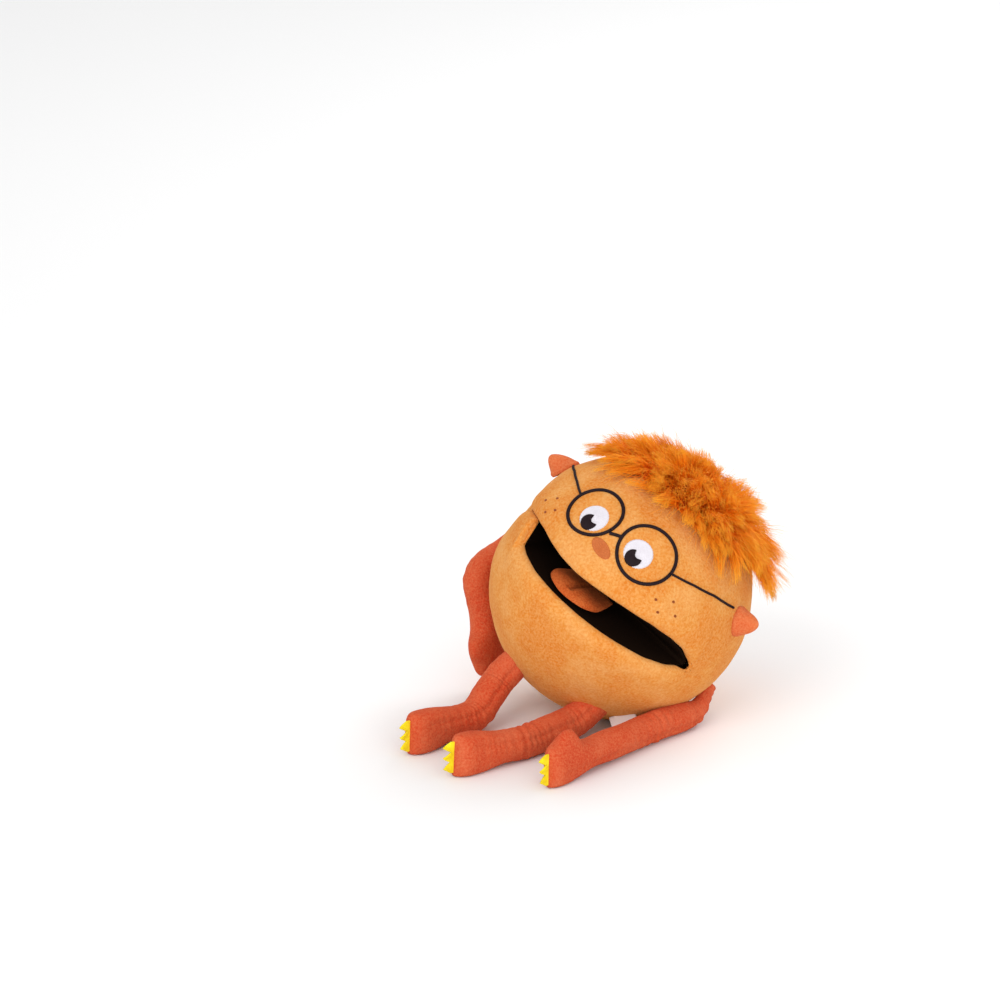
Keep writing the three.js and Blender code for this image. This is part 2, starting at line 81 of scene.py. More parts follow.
def even_turns(count):
    return np.linspace(0, 2 * math.pi, count, endpoint=False)


def unit(vectors):
    return vectors / np.maximum(np.linalg.norm(vectors, axis=-1, keepdims=True), 1e-9)


def to_row(points):
    """Points in the ball's frame to the row's frame, both in millimetres."""
    return np.asarray(points) @ BALL_TURN.T + BALL_CENTRE


def from_row(points):
    return (np.asarray(points) - BALL_CENTRE) @ BALL_TURN


def lumps(points, size, seed=0.0):
    """Smooth noise from -1 to 1 at points, with features of about size millimetres."""
    flat = np.asarray(points, float).reshape(-1, 3) / size + seed
    values = [noise.noise(Vector(p)) for p in flat]
    return np.array(values).reshape(np.shape(points)[:-1])


def on_ball(azimuth, latitude):
    """The direction from the ball's centre, in its own frame."""
    a, b = np.radians(azimuth), np.radians(latitude)
    return np.stack([np.cos(b) * np.sin(a), -np.cos(b) * np.cos(a), np.sin(b) + 0 * a], -1)


def hinge_angle(points):
    """The angle round the hinge line, from straight ahead (0) up and over to the back."""
    return np.degrees(np.arctan2(points[..., 2], HINGE_Y - points[..., 1])) % 360


def mouth_share(angle):
    """How much a point at a hinge angle follows the head as the mouth opens."""
    return np.where(angle < 270, 1 - smooth(angle, 138, 216), np.where(angle < 350, 0.0, 0.5))


# ---------------------------------------------------------------- meshes

def add_object(name, data):
    obj = bpy.data.objects.new(name, data)
    bpy.context.scene.collection.objects.link(obj)
    return obj


def mesh_object(name, points, faces, material, smooth_faces=True):
    """points are in the row frame, in millimetres."""
    mesh = bpy.data.meshes.new(name)
    mesh.from_pydata((np.asarray(points) * MM).tolist(), [], faces)
    mesh.validate()
    mesh.materials.append(material)
    if smooth_faces:
        mesh.polygons.foreach_set("use_smooth", [True] * len(mesh.polygons))
    obj = add_object(name, mesh)
    remember_rest(obj)
    return obj


def remember_rest(obj):
    """Keeps the rest position on the mesh, so that textures stay put when the piece bends."""
    mesh = obj.data
    co = np.empty(len(mesh.vertices) * 3, np.float32)
    mesh.vertices.foreach_get("co", co)
    attribute = mesh.attributes.get("rest") or mesh.attributes.new("rest", "FLOAT_VECTOR", "POINT")
    attribute.data.foreach_set("vector", co / MM)


def set_values(obj, name, values):
    attribute = obj.data.attributes.get(name) or obj.data.attributes.new(name, "FLOAT", "POINT")
    attribute.data.foreach_set("value", np.asarray(values, np.float32).ravel())


def grid_faces(rows, columns, wrap, start=0, flip=False):
    faces = []
    for i in range(rows - 1):
        for j in range(columns if wrap else columns - 1):
            k = (j + 1) % columns
            quad = (start + i * columns + j, start + i * columns + k,
                    start + (i + 1) * columns + k, start + (i + 1) * columns + j)
            faces.append(quad[::-1] if flip else quad)
    return faces


def grid_object(name, grid, material, wrap=False, caps=False, place=to_row):
    """A mesh from rows of points, which place puts in the row's frame. Caps close its two ends."""
    rows, columns = grid.shape[:2]
    faces = grid_faces(rows, columns, wrap)
    if caps:
        faces += [tuple(range(columns))[::-1], tuple(range((rows - 1) * columns, rows * columns))]
    return mesh_object(name, place(grid.reshape(-1, 3)), faces, material)


def describe(obj, slot, *nodes, fill=None):
    """Hides the CAD nodes that a piece stands for. Its material slot and how full it is are not used."""
    if nodes:
        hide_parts(*nodes)


def thicken(obj, depth, offset=-1.0):
    """Gives a sheet its thickness, and applies it."""
    modifier = obj.modifiers.new("thickness", "SOLIDIFY")
    modifier.thickness = depth * MM
    modifier.offset = offset
    modifier.use_even_offset = False
    apply_modifiers(obj)
    remember_rest(obj)


def face_outward(obj):
    """Turns a sheet's faces away from the ball's centre, or a closed solid's faces outward."""
    centre = Vector(BALL_CENTRE) * MM
    side = sum((p.center - centre).dot(p.normal) * p.area for p in obj.data.polygons)
    if side < 0:
        obj.data.flip_normals()


def apply_modifiers(obj):
    depsgraph = bpy.context.evaluated_depsgraph_get()
    mesh = bpy.data.meshes.new_from_object(obj.evaluated_get(depsgraph))
    old = obj.data
    obj.modifiers.clear()
    obj.data = mesh
    bpy.data.meshes.remove(old)


def bend_by(obj, body_a, body_b, weights):
    """A blend between two bodies whose share is given for each vertex."""
    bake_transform(obj, body_a, body_b, start=(0, 0, 0), end=(0, 0, 1))
    set_values(obj, "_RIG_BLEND", weights)


def vertex_points(obj):
    co = np.empty(len(obj.data.vertices) * 3, np.float32)
    obj.data.vertices.foreach_get("co", co)
    return co.reshape(-1, 3) / MM


def follow_mouth(obj):
    """Bends a piece of the ball between belly and head by its angle round the hinge line."""
    angle = hinge_angle(from_row(vertex_points(obj)))
    bend_by(obj, "belly", "head", mouth_share(angle))


def cheek_share(points):
    """How much the belly's cloth follows the head. On the puppet's right its cheek is sewn to the head."""
    angle = hinge_angle(points)
    angle = np.where(angle > 300, angle - 360, angle)
    front = np.abs(angle) < 60
    return np.where(front, smooth(-points[:, 0], 52, 60) * smooth(angle, -25, 14), 0.0)


def follow_cheek(obj):
    """Bends the belly's cloth: all of it stays with the belly but the cheek and the back."""
    points = from_row(vertex_points(obj))
    angle = hinge_angle(points)
    behind = np.where((angle > 90) & (angle < 270), mouth_share(angle), 0.0)
    bend_by(obj, "belly", "head", np.maximum(behind, cheek_share(points)))


# ---------------------------------------------------------------- materials

class Nodes:
    """Short names for building one material."""

    def __init__(self, name, roughness=0.9):
        self.material = bpy.data.materials.new(name)
        self.material.use_nodes = True
        self.tree = self.material.node_tree
        self.shader = self.tree.nodes["Principled BSDF"]
        self.shader.inputs["Roughness"].default_value = roughness
        self.shader.inputs["Specular IOR Level"].default_value = 0.3

    def add(self, kind, **inputs):
        node = self.tree.nodes.new(kind)
        for key, value in inputs.items():
            self.put(node.inputs[key.replace("_", " ")], value)
        return node

    def put(self, socket, value):
        if isinstance(value, bpy.types.NodeSocket):
            self.tree.links.new(value, socket)
        else:
            socket.default_value = value

    def place(self, stretch=(1, 1, 1), attribute="rest"):
        """Rest position in millimetres, or object position on a CAD node, stretched."""
        if attribute:
            source = self.tree.nodes.new("ShaderNodeAttribute")
            source.attribute_name = attribute
            vector, scale = source.outputs["Vector"], Vector(stretch)
        else:
            vector = self.tree.nodes.new("ShaderNodeTexCoord").outputs["Object"]
            scale = Vector(stretch) / MM
        mapping = self.add("ShaderNodeMapping", Vector=vector, Scale=scale)
        return mapping.outputs["Vector"]

    def value(self, attribute):
        source = self.tree.nodes.new("ShaderNodeAttribute")
        source.attribute_name = attribute
        return source.outputs["Fac"]

    def noise(self, vector, size, detail, distortion=0.0):
        node = self.add("ShaderNodeTexNoise", Vector=vector, Scale=1 / size)
        node.inputs["Detail"].default_value = detail
        node.inputs["Distortion"].default_value = distortion
        return node.outputs["Fac"]

    def ramp(self, factor, stops):
        node = self.add("ShaderNodeValToRGB", Fac=factor)
        elements = node.color_ramp.elements
        while len(elements) < len(stops):
            elements.new(0.5)
        for element, (position, color) in zip(elements, stops):
            element.position = position
            element.color = rgb(color)
        return node.outputs["Color"]

    def levels(self, factor, low, high, to_low=0.0, to_high=1.0):
        node = self.add("ShaderNodeMapRange")
        self.put(node.inputs["Value"], factor)
        for key, value in zip(("From Min", "From Max", "To Min", "To Max"), (low, high, to_low, to_high)):
            node.inputs[key].default_value = value
        return node.outputs["Result"]

    def mix(self, factor, first, second):
        node = self.tree.nodes.new("ShaderNodeMix")
        node.data_type = "RGBA"
        self.put(node.inputs[0], factor)
        self.put(node.inputs[6], rgb(first))
        self.put(node.inputs[7], rgb(second))
        return node.outputs[2]

    def math(self, operation, *values):
        node = self.tree.nodes.new("ShaderNodeMath")
        node.operation = operation
        for socket, value in zip(node.inputs, values):
            self.put(socket, value)
        return node.outputs[0]

    def bump(self, height, distance, strength, normal=None):
        node = self.add("ShaderNodeBump", Height=height, Distance=distance * MM, Strength=strength)
        if normal is not None:
            self.put(node.inputs["Normal"], normal)
        return node.outputs["Normal"]

    def facing(self, blend):
        return self.add("ShaderNodeLayerWeight", Blend=blend).outputs["Facing"]

    def sheen(self, weight, roughness, tint):
        self.shader.inputs["Sheen Weight"].default_value = weight
        self.shader.inputs["Sheen Roughness"].default_value = roughness
        self.shader.inputs["Sheen Tint"].default_value = rgb(tint)

    def finish(self, color, normal=None):
        self.put(self.shader.inputs["Base Color"], rgb(color))
        if normal is not None:
            self.put(self.shader.inputs["Normal"], normal)
        return self.material


def linear(channel):
    c = channel / 255
    return c / 12.92 if c <= 0.04045 else ((c + 0.055) / 1.055) ** 2.4


def rgb(color):
    """sRGB steps from 0 to 255 to a colour; a socket passes through."""
    if isinstance(color, bpy.types.NodeSocket):
        return color
    return (*[linear(c) for c in color[:3]], 1.0)


def plush(name, dark, middle, light, tint, pile=1.0, contrast=1.0):
    """Short brushed pile: soft nap patches, a fine speckle and a painted sheen that lightens its edges."""
    n = Nodes(name, 0.95)
    n.shader.inputs["Specular IOR Level"].default_value = 0.15
    place = n.place()
    patches = n.noise(place, 34, 2.0, 0.5)
    strokes = n.noise(n.place((1, 0.4, 0.6)), 9, 3.0, 0.8)
    nap = n.math("ADD", n.math("MULTIPLY", patches, 0.72), n.math("MULTIPLY", strokes, 0.28))
    reach = 0.13 / contrast
    color = n.ramp(nap, [(0.5 - reach, dark), (0.5, middle), (0.5 + reach, light)])
    tufts = n.noise(place, 1.7 * pile, 3.0, 0.4)
    low, high = n.mix(0.7, color, dark), n.mix(0.75, color, light)
    color = n.mix(n.levels(tufts, 0.34, 0.66, 0.0, 0.62), low, high)
    # painted sheen: the colour turns lighter towards the grazing edges
    color = n.mix(n.levels(n.facing(0.2), 0.4, 1.0, 0.0, 0.3), color, light)
    fuzz = n.bump(tufts, 0.6, 0.9)
    rolls = n.bump(n.noise(place, 4.5, 2.0, 0.6), 0.8, 0.3, fuzz)
    n.sheen(0.12, 0.45, tint)
    return n.finish(color, rolls)


def fur_material(name, root, middle, tip, deep):
    n = Nodes(name, 0.55)
    along = n.value("along")
    tone = n.value("tone")
    # painted shade deep in the pile: the colour is darkest at the root and lightens towards the tip
    color = n.ramp(along, [(0.0, deep), (0.28, root), (0.62, middle), (1.0, tip)])
    color = n.mix(n.levels(tone, 0.0, 1.0, 0.0, 0.5), color, middle)
    n.shader.inputs["Specular IOR Level"].default_value = 0.2
    n.sheen(0.4, 0.5, (255, 150, 30))
    return n.finish(color)


def satin(name, color, shade, shine=0.3):
    """Satin stitch: the threads are ridges of the mesh, with a finer twist over them."""
    n = Nodes(name, 0.5)
    place = n.place()
    threads = n.noise(place, TWIST_SIZE, 2.0)
    mixed = n.mix(n.levels(threads, 0.3, 0.7), shade, color)
    n.shader.inputs["Specular IOR Level"].default_value = 0.12 + shine / 2
    n.sheen(shine, 0.35, color)
    return n.finish(mixed, n.bump(threads, 0.12, 0.6))


def felt(name, color, shade):
    n = Nodes(name)
    place = n.place()
    fibres = n.noise(place, 0.5, 4.0, 2.0)
    cloud = n.noise(place, 5, 2.0)
    mixed = n.mix(n.levels(cloud, 0.35, 0.65), shade, color)
    mixed = n.mix(n.levels(fibres, 0.35, 0.75, 0.0, 0.4), mixed, color)
    n.sheen(0.3, 0.5, color)
    return n.finish(mixed, n.bump(fibres, 0.25, 0.7))


def woven(name, color, shade, pitch, roughness=0.85, attribute="rest", depth=0.12):
    """Plain weave from two crossed waves."""
    n = Nodes(name, roughness)
    place = n.place(attribute=attribute)
    waves = []
    for direction in ("X", "Y", "Z"):
        wave = n.add("ShaderNodeTexWave", Vector=place, Scale=0.31 / pitch, Distortion=0.4)
        wave.bands_direction = direction
        waves.append(wave.outputs["Fac"])
    weave = n.math("MULTIPLY", n.math("ADD", waves[0], n.math("ADD", waves[1], waves[2])), 0.33)
    n.shader.inputs["Specular IOR Level"].default_value = 0.02
    mixed = n.mix(n.levels(weave, 0.2, 0.8), shade, color)
    mixed = n.mix(n.levels(n.noise(place, 14, 2.0), 0.3, 0.7, 0.0, 0.2), mixed, shade)
    return n.finish(mixed, n.bump(weave, depth, 0.6))


def fibre(name, color, shade):
    n = Nodes(name)
    place = n.place()
    wisps = n.noise(place, 3, 5.0, 3.0)
    return n.finish(n.mix(wisps, shade, color), n.bump(wisps, 1.2, 0.8))


TWIST_SIZE = 0.55  # of the threads in satin stitch
ORANGE_DARK, ORANGE, ORANGE_LIGHT = (205, 117, 36), (215, 147, 67), (225, 172, 104)
RED_DARK, RED, RED_LIGHT = (188, 58, 28), (199, 86, 48), (211, 116, 76)

PLUSH_ORANGE = plush("plush_orange", ORANGE_DARK, ORANGE, ORANGE_LIGHT, (255, 205, 140), contrast=1.35)
PLUSH_RED = plush("plush_orange_red", RED_DARK, RED, RED_LIGHT, (255, 150, 110), pile=0.8)
PLUSH_EAR = plush("plush_ear", (202, 92, 48), (212, 114, 64), (222, 140, 92), (255, 170, 130), pile=0.8)
PLUSH_BROWN = plush("plush_brown", (156, 56, 14), (196, 84, 30), (214, 116, 56), (220, 134, 74), pile=0.7)
FUR = fur_material("fur_orange", (252, 108, 0), (255, 146, 10), (255, 188, 56), (236, 76, 0))
FUR_BACKING = plush("fur_backing", (190, 60, 8), (215, 84, 8), (230, 108, 16), (240, 140, 60))
STITCH_DARK = satin("embroidery_dark", (40, 24, 30), (20, 11, 14), 0.0)
STITCH_WHITE = satin("embroidery_white", (222, 218, 224), (206, 200, 208))
STITCH_NOSE = satin("embroidery_orange", (202, 112, 56), (172, 86, 38), 0.1)
STITCH_FRECKLE = satin("embroidery_brown", (168, 88, 38), (120, 56, 24))
LINING = woven("lining_black", (29, 18, 11), (20, 12, 7), 0.7)
FELT_YELLOW = felt("felt_yellow", (246, 228, 34), (226, 196, 14))
LABEL = woven("label_white", (240, 232, 228), (220, 205, 200), 0.4, 0.55)
LINING_CAD = woven("lining_black_inner", (26, 17, 13), (16, 10, 8), 0.7, attribute=None)
FIBRE = fibre("fibre_fill", (244, 242, 236), (216, 212, 204))
BOARD = woven("board_grey", (34, 34, 36), (28, 28, 30), 1.5, 0.5, depth=0.05)


# ---------------------------------------------------------------- ball

# Half height of the open mouth along its width, from the puppet's right to its left, upper and lower lip
UPPER_LIP = ((-91.2, 0.6), (-84, 7.0), (-72, 12.6), (-60, 14.6), (-46, 14.8), (-32, 13.0), (-18, 11.8),
             (0, 11.4), (22, 13.4), (43, 15.4), (62, 16.4), (76, 15.2), (84, 12.2), (88.5, 7.4),
             (90.5, 2.6), (91.2, 0.2))
LOWER_LIP = ((-91.2, 0.4), (-84, 6.9), (-72, 12.5), (-62, 14.4), (-57.5, 14.6), (-55.5, -6.2), (-48, -9.0),
             (-30, -11.4), (0, -12.4), (20, -12.2), (40, -11.2), (57, -9.9), (72, -8.6), (83, -5.6),
             (88, -2.8), (90.5, -0.9), (91.2, -0.2))
LIP_ROLL = 2.8
LIP_STEPS = 8
SEAM_TUCK, SEAM_REACH = 1.8, 0.9  # how far a seam tucks in, and runs on while it does
SEAM_STEPS = 4
CORNER_FADE = 12.0  # over this run the rolled lips grow to their full size
# where the mouth's corners draw the ball in: azimuth, latitude, share of the radius, degrees across
CORNER_DENTS = ((73.5, 0.0, 0.03, 11.0), (-70.0, 2.0, 0.085, 16.0), (-70.0, 1.0, 0.065, 5.5))


def lip_height(lip, x):
    """A smooth curve through a lip's points."""
    places, heights = np.array(lip).T
    spread = np.linspace(-1, 1, 9)
    soft = [np.interp(x + 1.7 * s, places, heights) for s in spread]
    return np.average(soft, axis=0, weights=1.1 - np.abs(spread))


def lip_angle(lip, x, inset):
    """The hinge angle of a lip at a place across the ball; inset moves it back from the opening."""
    z = lip_height(lip, x)
    z = z + (1 if lip is UPPER_LIP else -1) * inset
    ahead = np.sqrt(np.maximum(BALL_RADIUS ** 2 - x ** 2 - z ** 2, 1)) + HINGE_Y
    return np.degrees(np.arctan2(z, np.maximum(ahead, 1.5)))


def cut_circle(angle):
    """The angle in radians, and the radius and the middle of the circle that its plane cuts from the ball."""
    turn = np.radians(angle)
    return turn, np.sqrt(BALL_RADIUS ** 2 - (HINGE_Y * np.sin(turn)) ** 2), HINGE_Y * np.cos(turn)


def arc_points(angle, share):
    """Points on the ball where the half plane at a hinge angle cuts it, from right corner to left corner."""
    turn, radius, centre = cut_circle(angle)
    reach = np.arccos(np.clip(-centre / radius, -1, 1))
    phi = (2 * share - 1) * reach
    x = radius * np.sin(phi)
    out = centre + radius * np.cos(phi)
    return np.stack([x, HINGE_Y - out * np.cos(turn), out * np.sin(turn)], -1)


def draw_in(points):
    """The share of its distance from the centre that a point keeps. The mouth's corners draw it in."""
    direction = unit(points)
    factor = np.ones(direction.shape[:-1])
    for azimuth, latitude, depth, width in CORNER_DENTS:
        away = np.degrees(np.arccos(np.clip(direction @ on_ball(azimuth, latitude), -1, 1)))
        factor -= depth * np.exp(-(away / width) ** 2)
    return factor


def soften(points):
    """Turns exact ball points into the soft ball: dented corners, full lips, lumps of filling."""
    direction = unit(points)
    height = np.linalg.norm(points, axis=-1)
    factor = draw_in(points)
    ahead = points[..., 1] < HINGE_Y - 1
    upper = points[..., 2] - lip_height(UPPER_LIP, points[..., 0])
    lower = lip_height(LOWER_LIP, points[..., 0]) - points[..., 2]
    from_lip = np.where(ahead, np.maximum(np.maximum(upper, lower), 0), 99)
    fullness = 1.3 * np.exp(-((from_lip - 11) / 9) ** 2) - 1.4 * np.exp(-(from_lip / 4.5) ** 2)
    swell = 0.9 * lumps(points, 38) + 0.35 * lumps(points, 14, 7.0)
    return direction * (height * factor + fullness + swell)[..., None]


def press_flat(points, low, room):
    """Presses row-frame points that pass a height flat. They bend over the room above it."""
    out = np.array(points)
    z = out[..., 2]
    out[..., 2] = np.where(z < low + room, low + room * np.exp((z - low - room) / room), z)
    return out


def lay_down(points):
    """Ball points in the row's frame, with a flat where the ball rests."""
    return press_flat(to_row(points), 0.1, 3.9)


def column_shares(columns):
    """Columns across the ball, closer together towards its two poles."""
    even = np.linspace(0, 1, columns)
    return 0.5 - 0.5 * np.cos(math.pi * even) * (1 - 0.25 * np.sin(math.pi * even) ** 2)


def lip_columns(lip, shares, inset):
    """The hinge angle at which each column of the ball meets a lip."""
    angle = np.zeros(len(shares))
    for _ in range(6):
        x = arc_points(angle, shares)[:, 0]
        angle = 0.5 * angle + 0.5 * lip_angle(lip, x, inset)
    return angle


def ball_sheet(low, high, rows, columns):
    """A grid of soft ball points between two hinge angles, each one number or one for each column."""
    shares = column_shares(columns)[None, :]
    low, high = np.broadcast_to(low, (columns,)), np.broadcast_to(high, (columns,))
    steps = np.linspace(0, 1, rows)[:, None]
    angles = low + (high - low) * steps
    return soften(arc_points(angles, shares + 0 * angles))


def lip_rows(edge, inner_edge):
    """Rows that roll a sheet's last row inward round a small radius. inner_edge is the row before it."""
    outward = unit(edge)
    across = unit(edge - inner_edge)
    run = np.linalg.norm(edge - edge[[0]], axis=-1)
    back = np.linalg.norm(edge - edge[[-1]], axis=-1)
    radius = LIP_ROLL * (0.2 + 0.8 * smooth(np.minimum(run, back), 0, CORNER_FADE))[:, None]
    rows = []
    for step in range(1, LIP_STEPS + 1):
        turn = math.pi * 1.05 * step / LIP_STEPS
        rows.append(edge - outward * radius * (1 - math.cos(turn)) + across * radius * math.sin(turn))
    return rows


def seam_rows(edge, inner_edge):
    """Rows that tuck a sheet's last row down into its seam."""
    outward = unit(edge)
    across = unit(edge - inner_edge)
    rows = []
    for step in range(1, SEAM_STEPS + 1):
        turn = math.pi / 2 * step / SEAM_STEPS
        rows.append(edge - outward * SEAM_TUCK * (1 - math.cos(turn)) + across * SEAM_REACH * math.sin(turn))
    return rows


def skin_piece(name, sheet, rolls, replaced, follow):
    """rolls says for the first and the last row whether it rolls in as a lip, or else tucks into a seam."""
    first = (lip_rows if rolls[0] else seam_rows)(sheet[0], sheet[1])
    last = (lip_rows if rolls[1] else seam_rows)(sheet[-1], sheet[-2])
    grid = np.array(first[::-1] + list(sheet) + last)
    obj = grid_object(name, grid, PLUSH_ORANGE, place=lay_down)
    face_outward(obj)
    thicken(obj, SKIN)
    follow(obj)
    describe(obj, "plush_orange", replaced, fill=0.9)


def build_skin():
    columns = 230
    shares = column_shares(columns)
    upper = lip_columns(UPPER_LIP, shares, LIP_ROLL)
    lower = 360 + lip_columns(LOWER_LIP, shares, LIP_ROLL)
    head = ball_sheet(upper, HEAD_BACK - 0.5, 150, columns)
    skin_piece("head_plush", head, (True, False), "head_skin", follow_mouth)
    belly = ball_sheet(BELLY_BACK + 0.5, lower, 180, columns)
    skin_piece("belly_plush", belly, (False, True), "belly_skin", follow_cheek)


HAND_ANGLE = 170.0
HAND_HALF_WIDTH, HAND_HALF_HEIGHT = 40.0, 26.0


def on_hole(turns, size):
    """Directions from the ball's centre through an oval round the hand opening."""
    turn = math.radians(HAND_ANGLE)
    x = HAND_HALF_WIDTH * size * np.cos(turns)
    up = HAND_HALF_HEIGHT * size * np.sin(turns)
    out = np.sqrt(np.maximum(BALL_RADIUS ** 2 - x ** 2, 1)) + 22
    y = HINGE_Y - out * math.cos(turn) + up * math.sin(turn)
    z = out * math.sin(turn) + up * math.cos(turn)
    return unit(np.stack([x, y, z], -1))


def build_back():
    """The back panel runs from its seams in to the rim of the hand opening."""
    around, steps = 220, 26
    turns = even_turns(around)
    inner = on_hole(turns, 1.0) * BALL_RADIUS
    outer = panel_edge(inner)
    rows = []
    for step in range(steps + 1):
        t = step / steps
        mixed = unit(inner * (1 - t) + outer * t) * BALL_RADIUS
        rows.append(soften(mixed))
    grid = np.array(rows + seam_rows(rows[-1], rows[-2]))
    obj = grid_object("back_plush", grid, PLUSH_ORANGE, wrap=True, place=lay_down)
    face_outward(obj)
    thicken(obj, SKIN)
    follow_mouth(obj)
    describe(obj, "plush_orange", "back_panel", fill=0.9)


def panel_edge(inner):
    """For each rim point, the point of the panel's seam that lies straight outward from it."""
    turns = even_turns(len(inner))
    edge = []
    for turn in turns:
        up = math.sin(turn)
        share = 0.5 + 0.5 * math.copysign(abs(math.cos(turn)) ** 1.25, math.cos(turn))
        angle = BELLY_BACK if up >= 0 else HEAD_BACK
        edge.append(arc_points(np.array(angle), np.array(share)))
    return np.array(edge)


def tube(name, centres, radius, material, sides, closed=True):
    """A tube along row-frame points, with a radius for each."""
    count = len(centres)
    ahead = np.roll(centres, -1, 0) - np.roll(centres, 1, 0) if closed else np.gradient(centres, axis=0)
    ahead = unit(ahead)
    outward = unit(centres - BALL_CENTRE)
    side = unit(np.cross(ahead, outward))
    outward = np.cross(side, ahead)
    rows = []
    for j in range(sides):
        turn = 2 * math.pi * j / sides
        rows.append(centres + (outward * math.sin(turn) + side * math.cos(turn)) * radius[:, None])
    grid = np.stack(rows, 1)
    points = list(grid.reshape(-1, 3))
    faces = grid_faces(count, sides, wrap=True, flip=True)
    if closed:
        last = (count - 1) * sides
        for j in range(sides):
            k = (j + 1) % sides
            faces.append((last + j, j, k, last + k)[::-1])
    else:
        faces.append(tuple(range(sides)))
        faces.append(tuple(range((count - 1) * sides, count * sides))[::-1])
    return mesh_object(name, points, faces, material)


def build_binding():
    """A rolled hem round the hand opening, gathered by its stitches."""
    turns = even_turns(260)
    centres = soften(on_hole(turns, 1.05) * BALL_RADIUS)
    gather = 3.2 + 0.35 * np.sin(turns * 46) + 0.2 * np.sin(turns * 17 + 1)
    obj = tube("hem_roll", to_row(centres), gather, PLUSH_RED, 12)
    follow_mouth(obj)
    describe(obj, "plush_orange_red", "opening_binding", fill=0.8)


def build_cavity():
    """The dark sleeve that the hand goes into, from the hem to the pockets."""
    around, steps = 120, 22
    turns = even_turns(around)
    rim = on_hole(turns, 1.0) * (BALL_RADIUS - 3)
    rows = []
    for step in range(steps + 1):
        t = step / steps
        depth = rim + np.array([0, -1, -0.1]) * 62 * t
        middle = depth.mean(0)
        shrink = 1 - 0.35 * t ** 2
        row = middle + (depth - middle) * np.array([1, 1, shrink])
        rows.append(row + (1.2 * t * lumps(row, 9))[:, None] * unit(row - middle))
    grid = np.array(rows)
    closing = [grid[-1].mean(0) + (grid[-1] - grid[-1].mean(0)) * s for s in (0.66, 0.33, 0.02)]
    grid = np.concatenate([grid, np.array(closing)])
    obj = grid_object("hand_sleeve", grid, LINING, wrap=True)
    thicken(obj, 0.6)
    follow_mouth(obj)


# ---------------------------------------------------------------- mouth

FOLD_RADIUS = 1.5  # the lining's fold at the hinge line
EDGE_TUCK = 3.6  # how far inside the ball's surface the lining meets the lips


def build_corner_tuck():
    """The cloth gathered behind the right mouth corner, at the end of the hinge line."""
    rings, around, size = 20, 32, 5.0
    surface = soften(np.array([[-math.sqrt(BALL_RADIUS ** 2 - HINGE_Y ** 2), HINGE_Y, 0.0]]))[0]
    centre = surface * (1 - (size + 0.6) / BALL_RADIUS)
    turns, tilts = np.meshgrid(even_turns(around),
                               np.linspace(-math.pi / 2, math.pi / 2, rings))
    directions = np.stack([np.cos(tilts) * np.cos(turns), np.cos(tilts) * np.sin(turns), np.sin(tilts)], -1)
    grid = centre + directions * (size + 0.5 * lumps(directions * size, 4, 6.0))[..., None]
    obj = grid_object("corner_tuck", grid, PLUSH_ORANGE, wrap=True)
    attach(obj, "belly")
    describe(obj, "plush_orange", fill=0.8)


MOUTH_MIDDLE, MOUTH_HALF_WIDTH = 4.5, 83.0  # the stretch across the ball that is lined
SHEET_MARGIN = 12  # how far the stiff sheets end before the lining does


def across_mouth(half_width, columns):
    """Places across the mouth, closer together towards its corners."""
    return MOUTH_MIDDLE + half_width * np.sin(np.linspace(-1, 1, columns) * math.pi / 2)


def mouth_wall(x, lip, shares, offset):
    """Points of a mouth wall: from the hinge line out to a lip, moved away from the opening by offset."""
    sign = 1 if lip is UPPER_LIP else -1
    angle = np.radians(lip_angle(lip, x, 1.0))
    tuck = EDGE_TUCK + 7 * smooth(-x, 70, 82) + 5.5 * smooth(x, 66, 78)
    reach = arc_reach(x, np.degrees(angle)) - tuck
    out = np.maximum(reach, 0.5)[None, :] * shares[:, None]
    start = FOLD_RADIUS * sign * np.minimum(1, shares * 12)[:, None]
    y = HINGE_Y - out * np.cos(angle)
    z = out * np.sin(angle) * 0.96 + start + sign * offset
    wall = np.stack([x + 0 * z, y, z], -1)
    furthest = BALL_RADIUS - EDGE_TUCK - 2.6 * smooth(np.abs(x), 62, 76)
    inside = np.minimum(1, furthest / np.linalg.norm(wall, axis=-1))
    return wall * (inside * draw_in(wall))[..., None]


def arc_reach(x, angle):
    """How far from the hinge line the ball's surface is, in the half plane at an angle."""
    _, radius, centre = cut_circle(angle)
    return centre + np.sqrt(np.maximum(radius ** 2 - x ** 2, 0))


def build_lining():
    """One black cloth lines both palates and folds at the hinge line."""
    columns, rows = 120, 34
    x = across_mouth(MOUTH_HALF_WIDTH, columns)
    shares = np.linspace(1, 0, rows)
    upper = mouth_wall(x, UPPER_LIP, shares, 0.0)
    lower = mouth_wall(x, LOWER_LIP, shares[::-1], 0.0)
    grid = np.concatenate([upper[:-1], lower])
    grid[..., 2] += 0.3 * lumps(grid, 16)
    near_fold = 0.5 - 0.5 * smooth(shares, 0, 0.08)[:, None] + 0 * x[None, :]
    low_share = np.maximum(near_fold[::-1], cheek_share(lower.reshape(-1, 3)).reshape(lower.shape[:2]))
    weights = np.concatenate([1 - near_fold[:-1], low_share]).reshape(-1)
    obj = grid_object("mouth_cloth", grid, LINING)
    thicken(obj, 0.6, 0.0)
    bend_by(obj, "belly", "head", np.tile(weights, 2))
    describe(obj, "lining_black", "mouth_lining_upper", "mouth_lining_lower", "mouth_lining_fold")


def build_palate(name, lip, body, node):
    """The stiff sheet behind the lining of one half of the mouth, bent to the curve of its lip."""
    columns, rows = 70, 24
    x = across_mouth(MOUTH_HALF_WIDTH - SHEET_MARGIN, columns)
    shares = np.linspace(0.15, 0.84, rows)
    grid = mouth_wall(x, lip, shares, 2.4)
    obj = grid_object(name, grid, BOARD)
    thicken(obj, 1.6, 0.0)
    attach(obj, body)
    describe(obj, "board_grey", node)


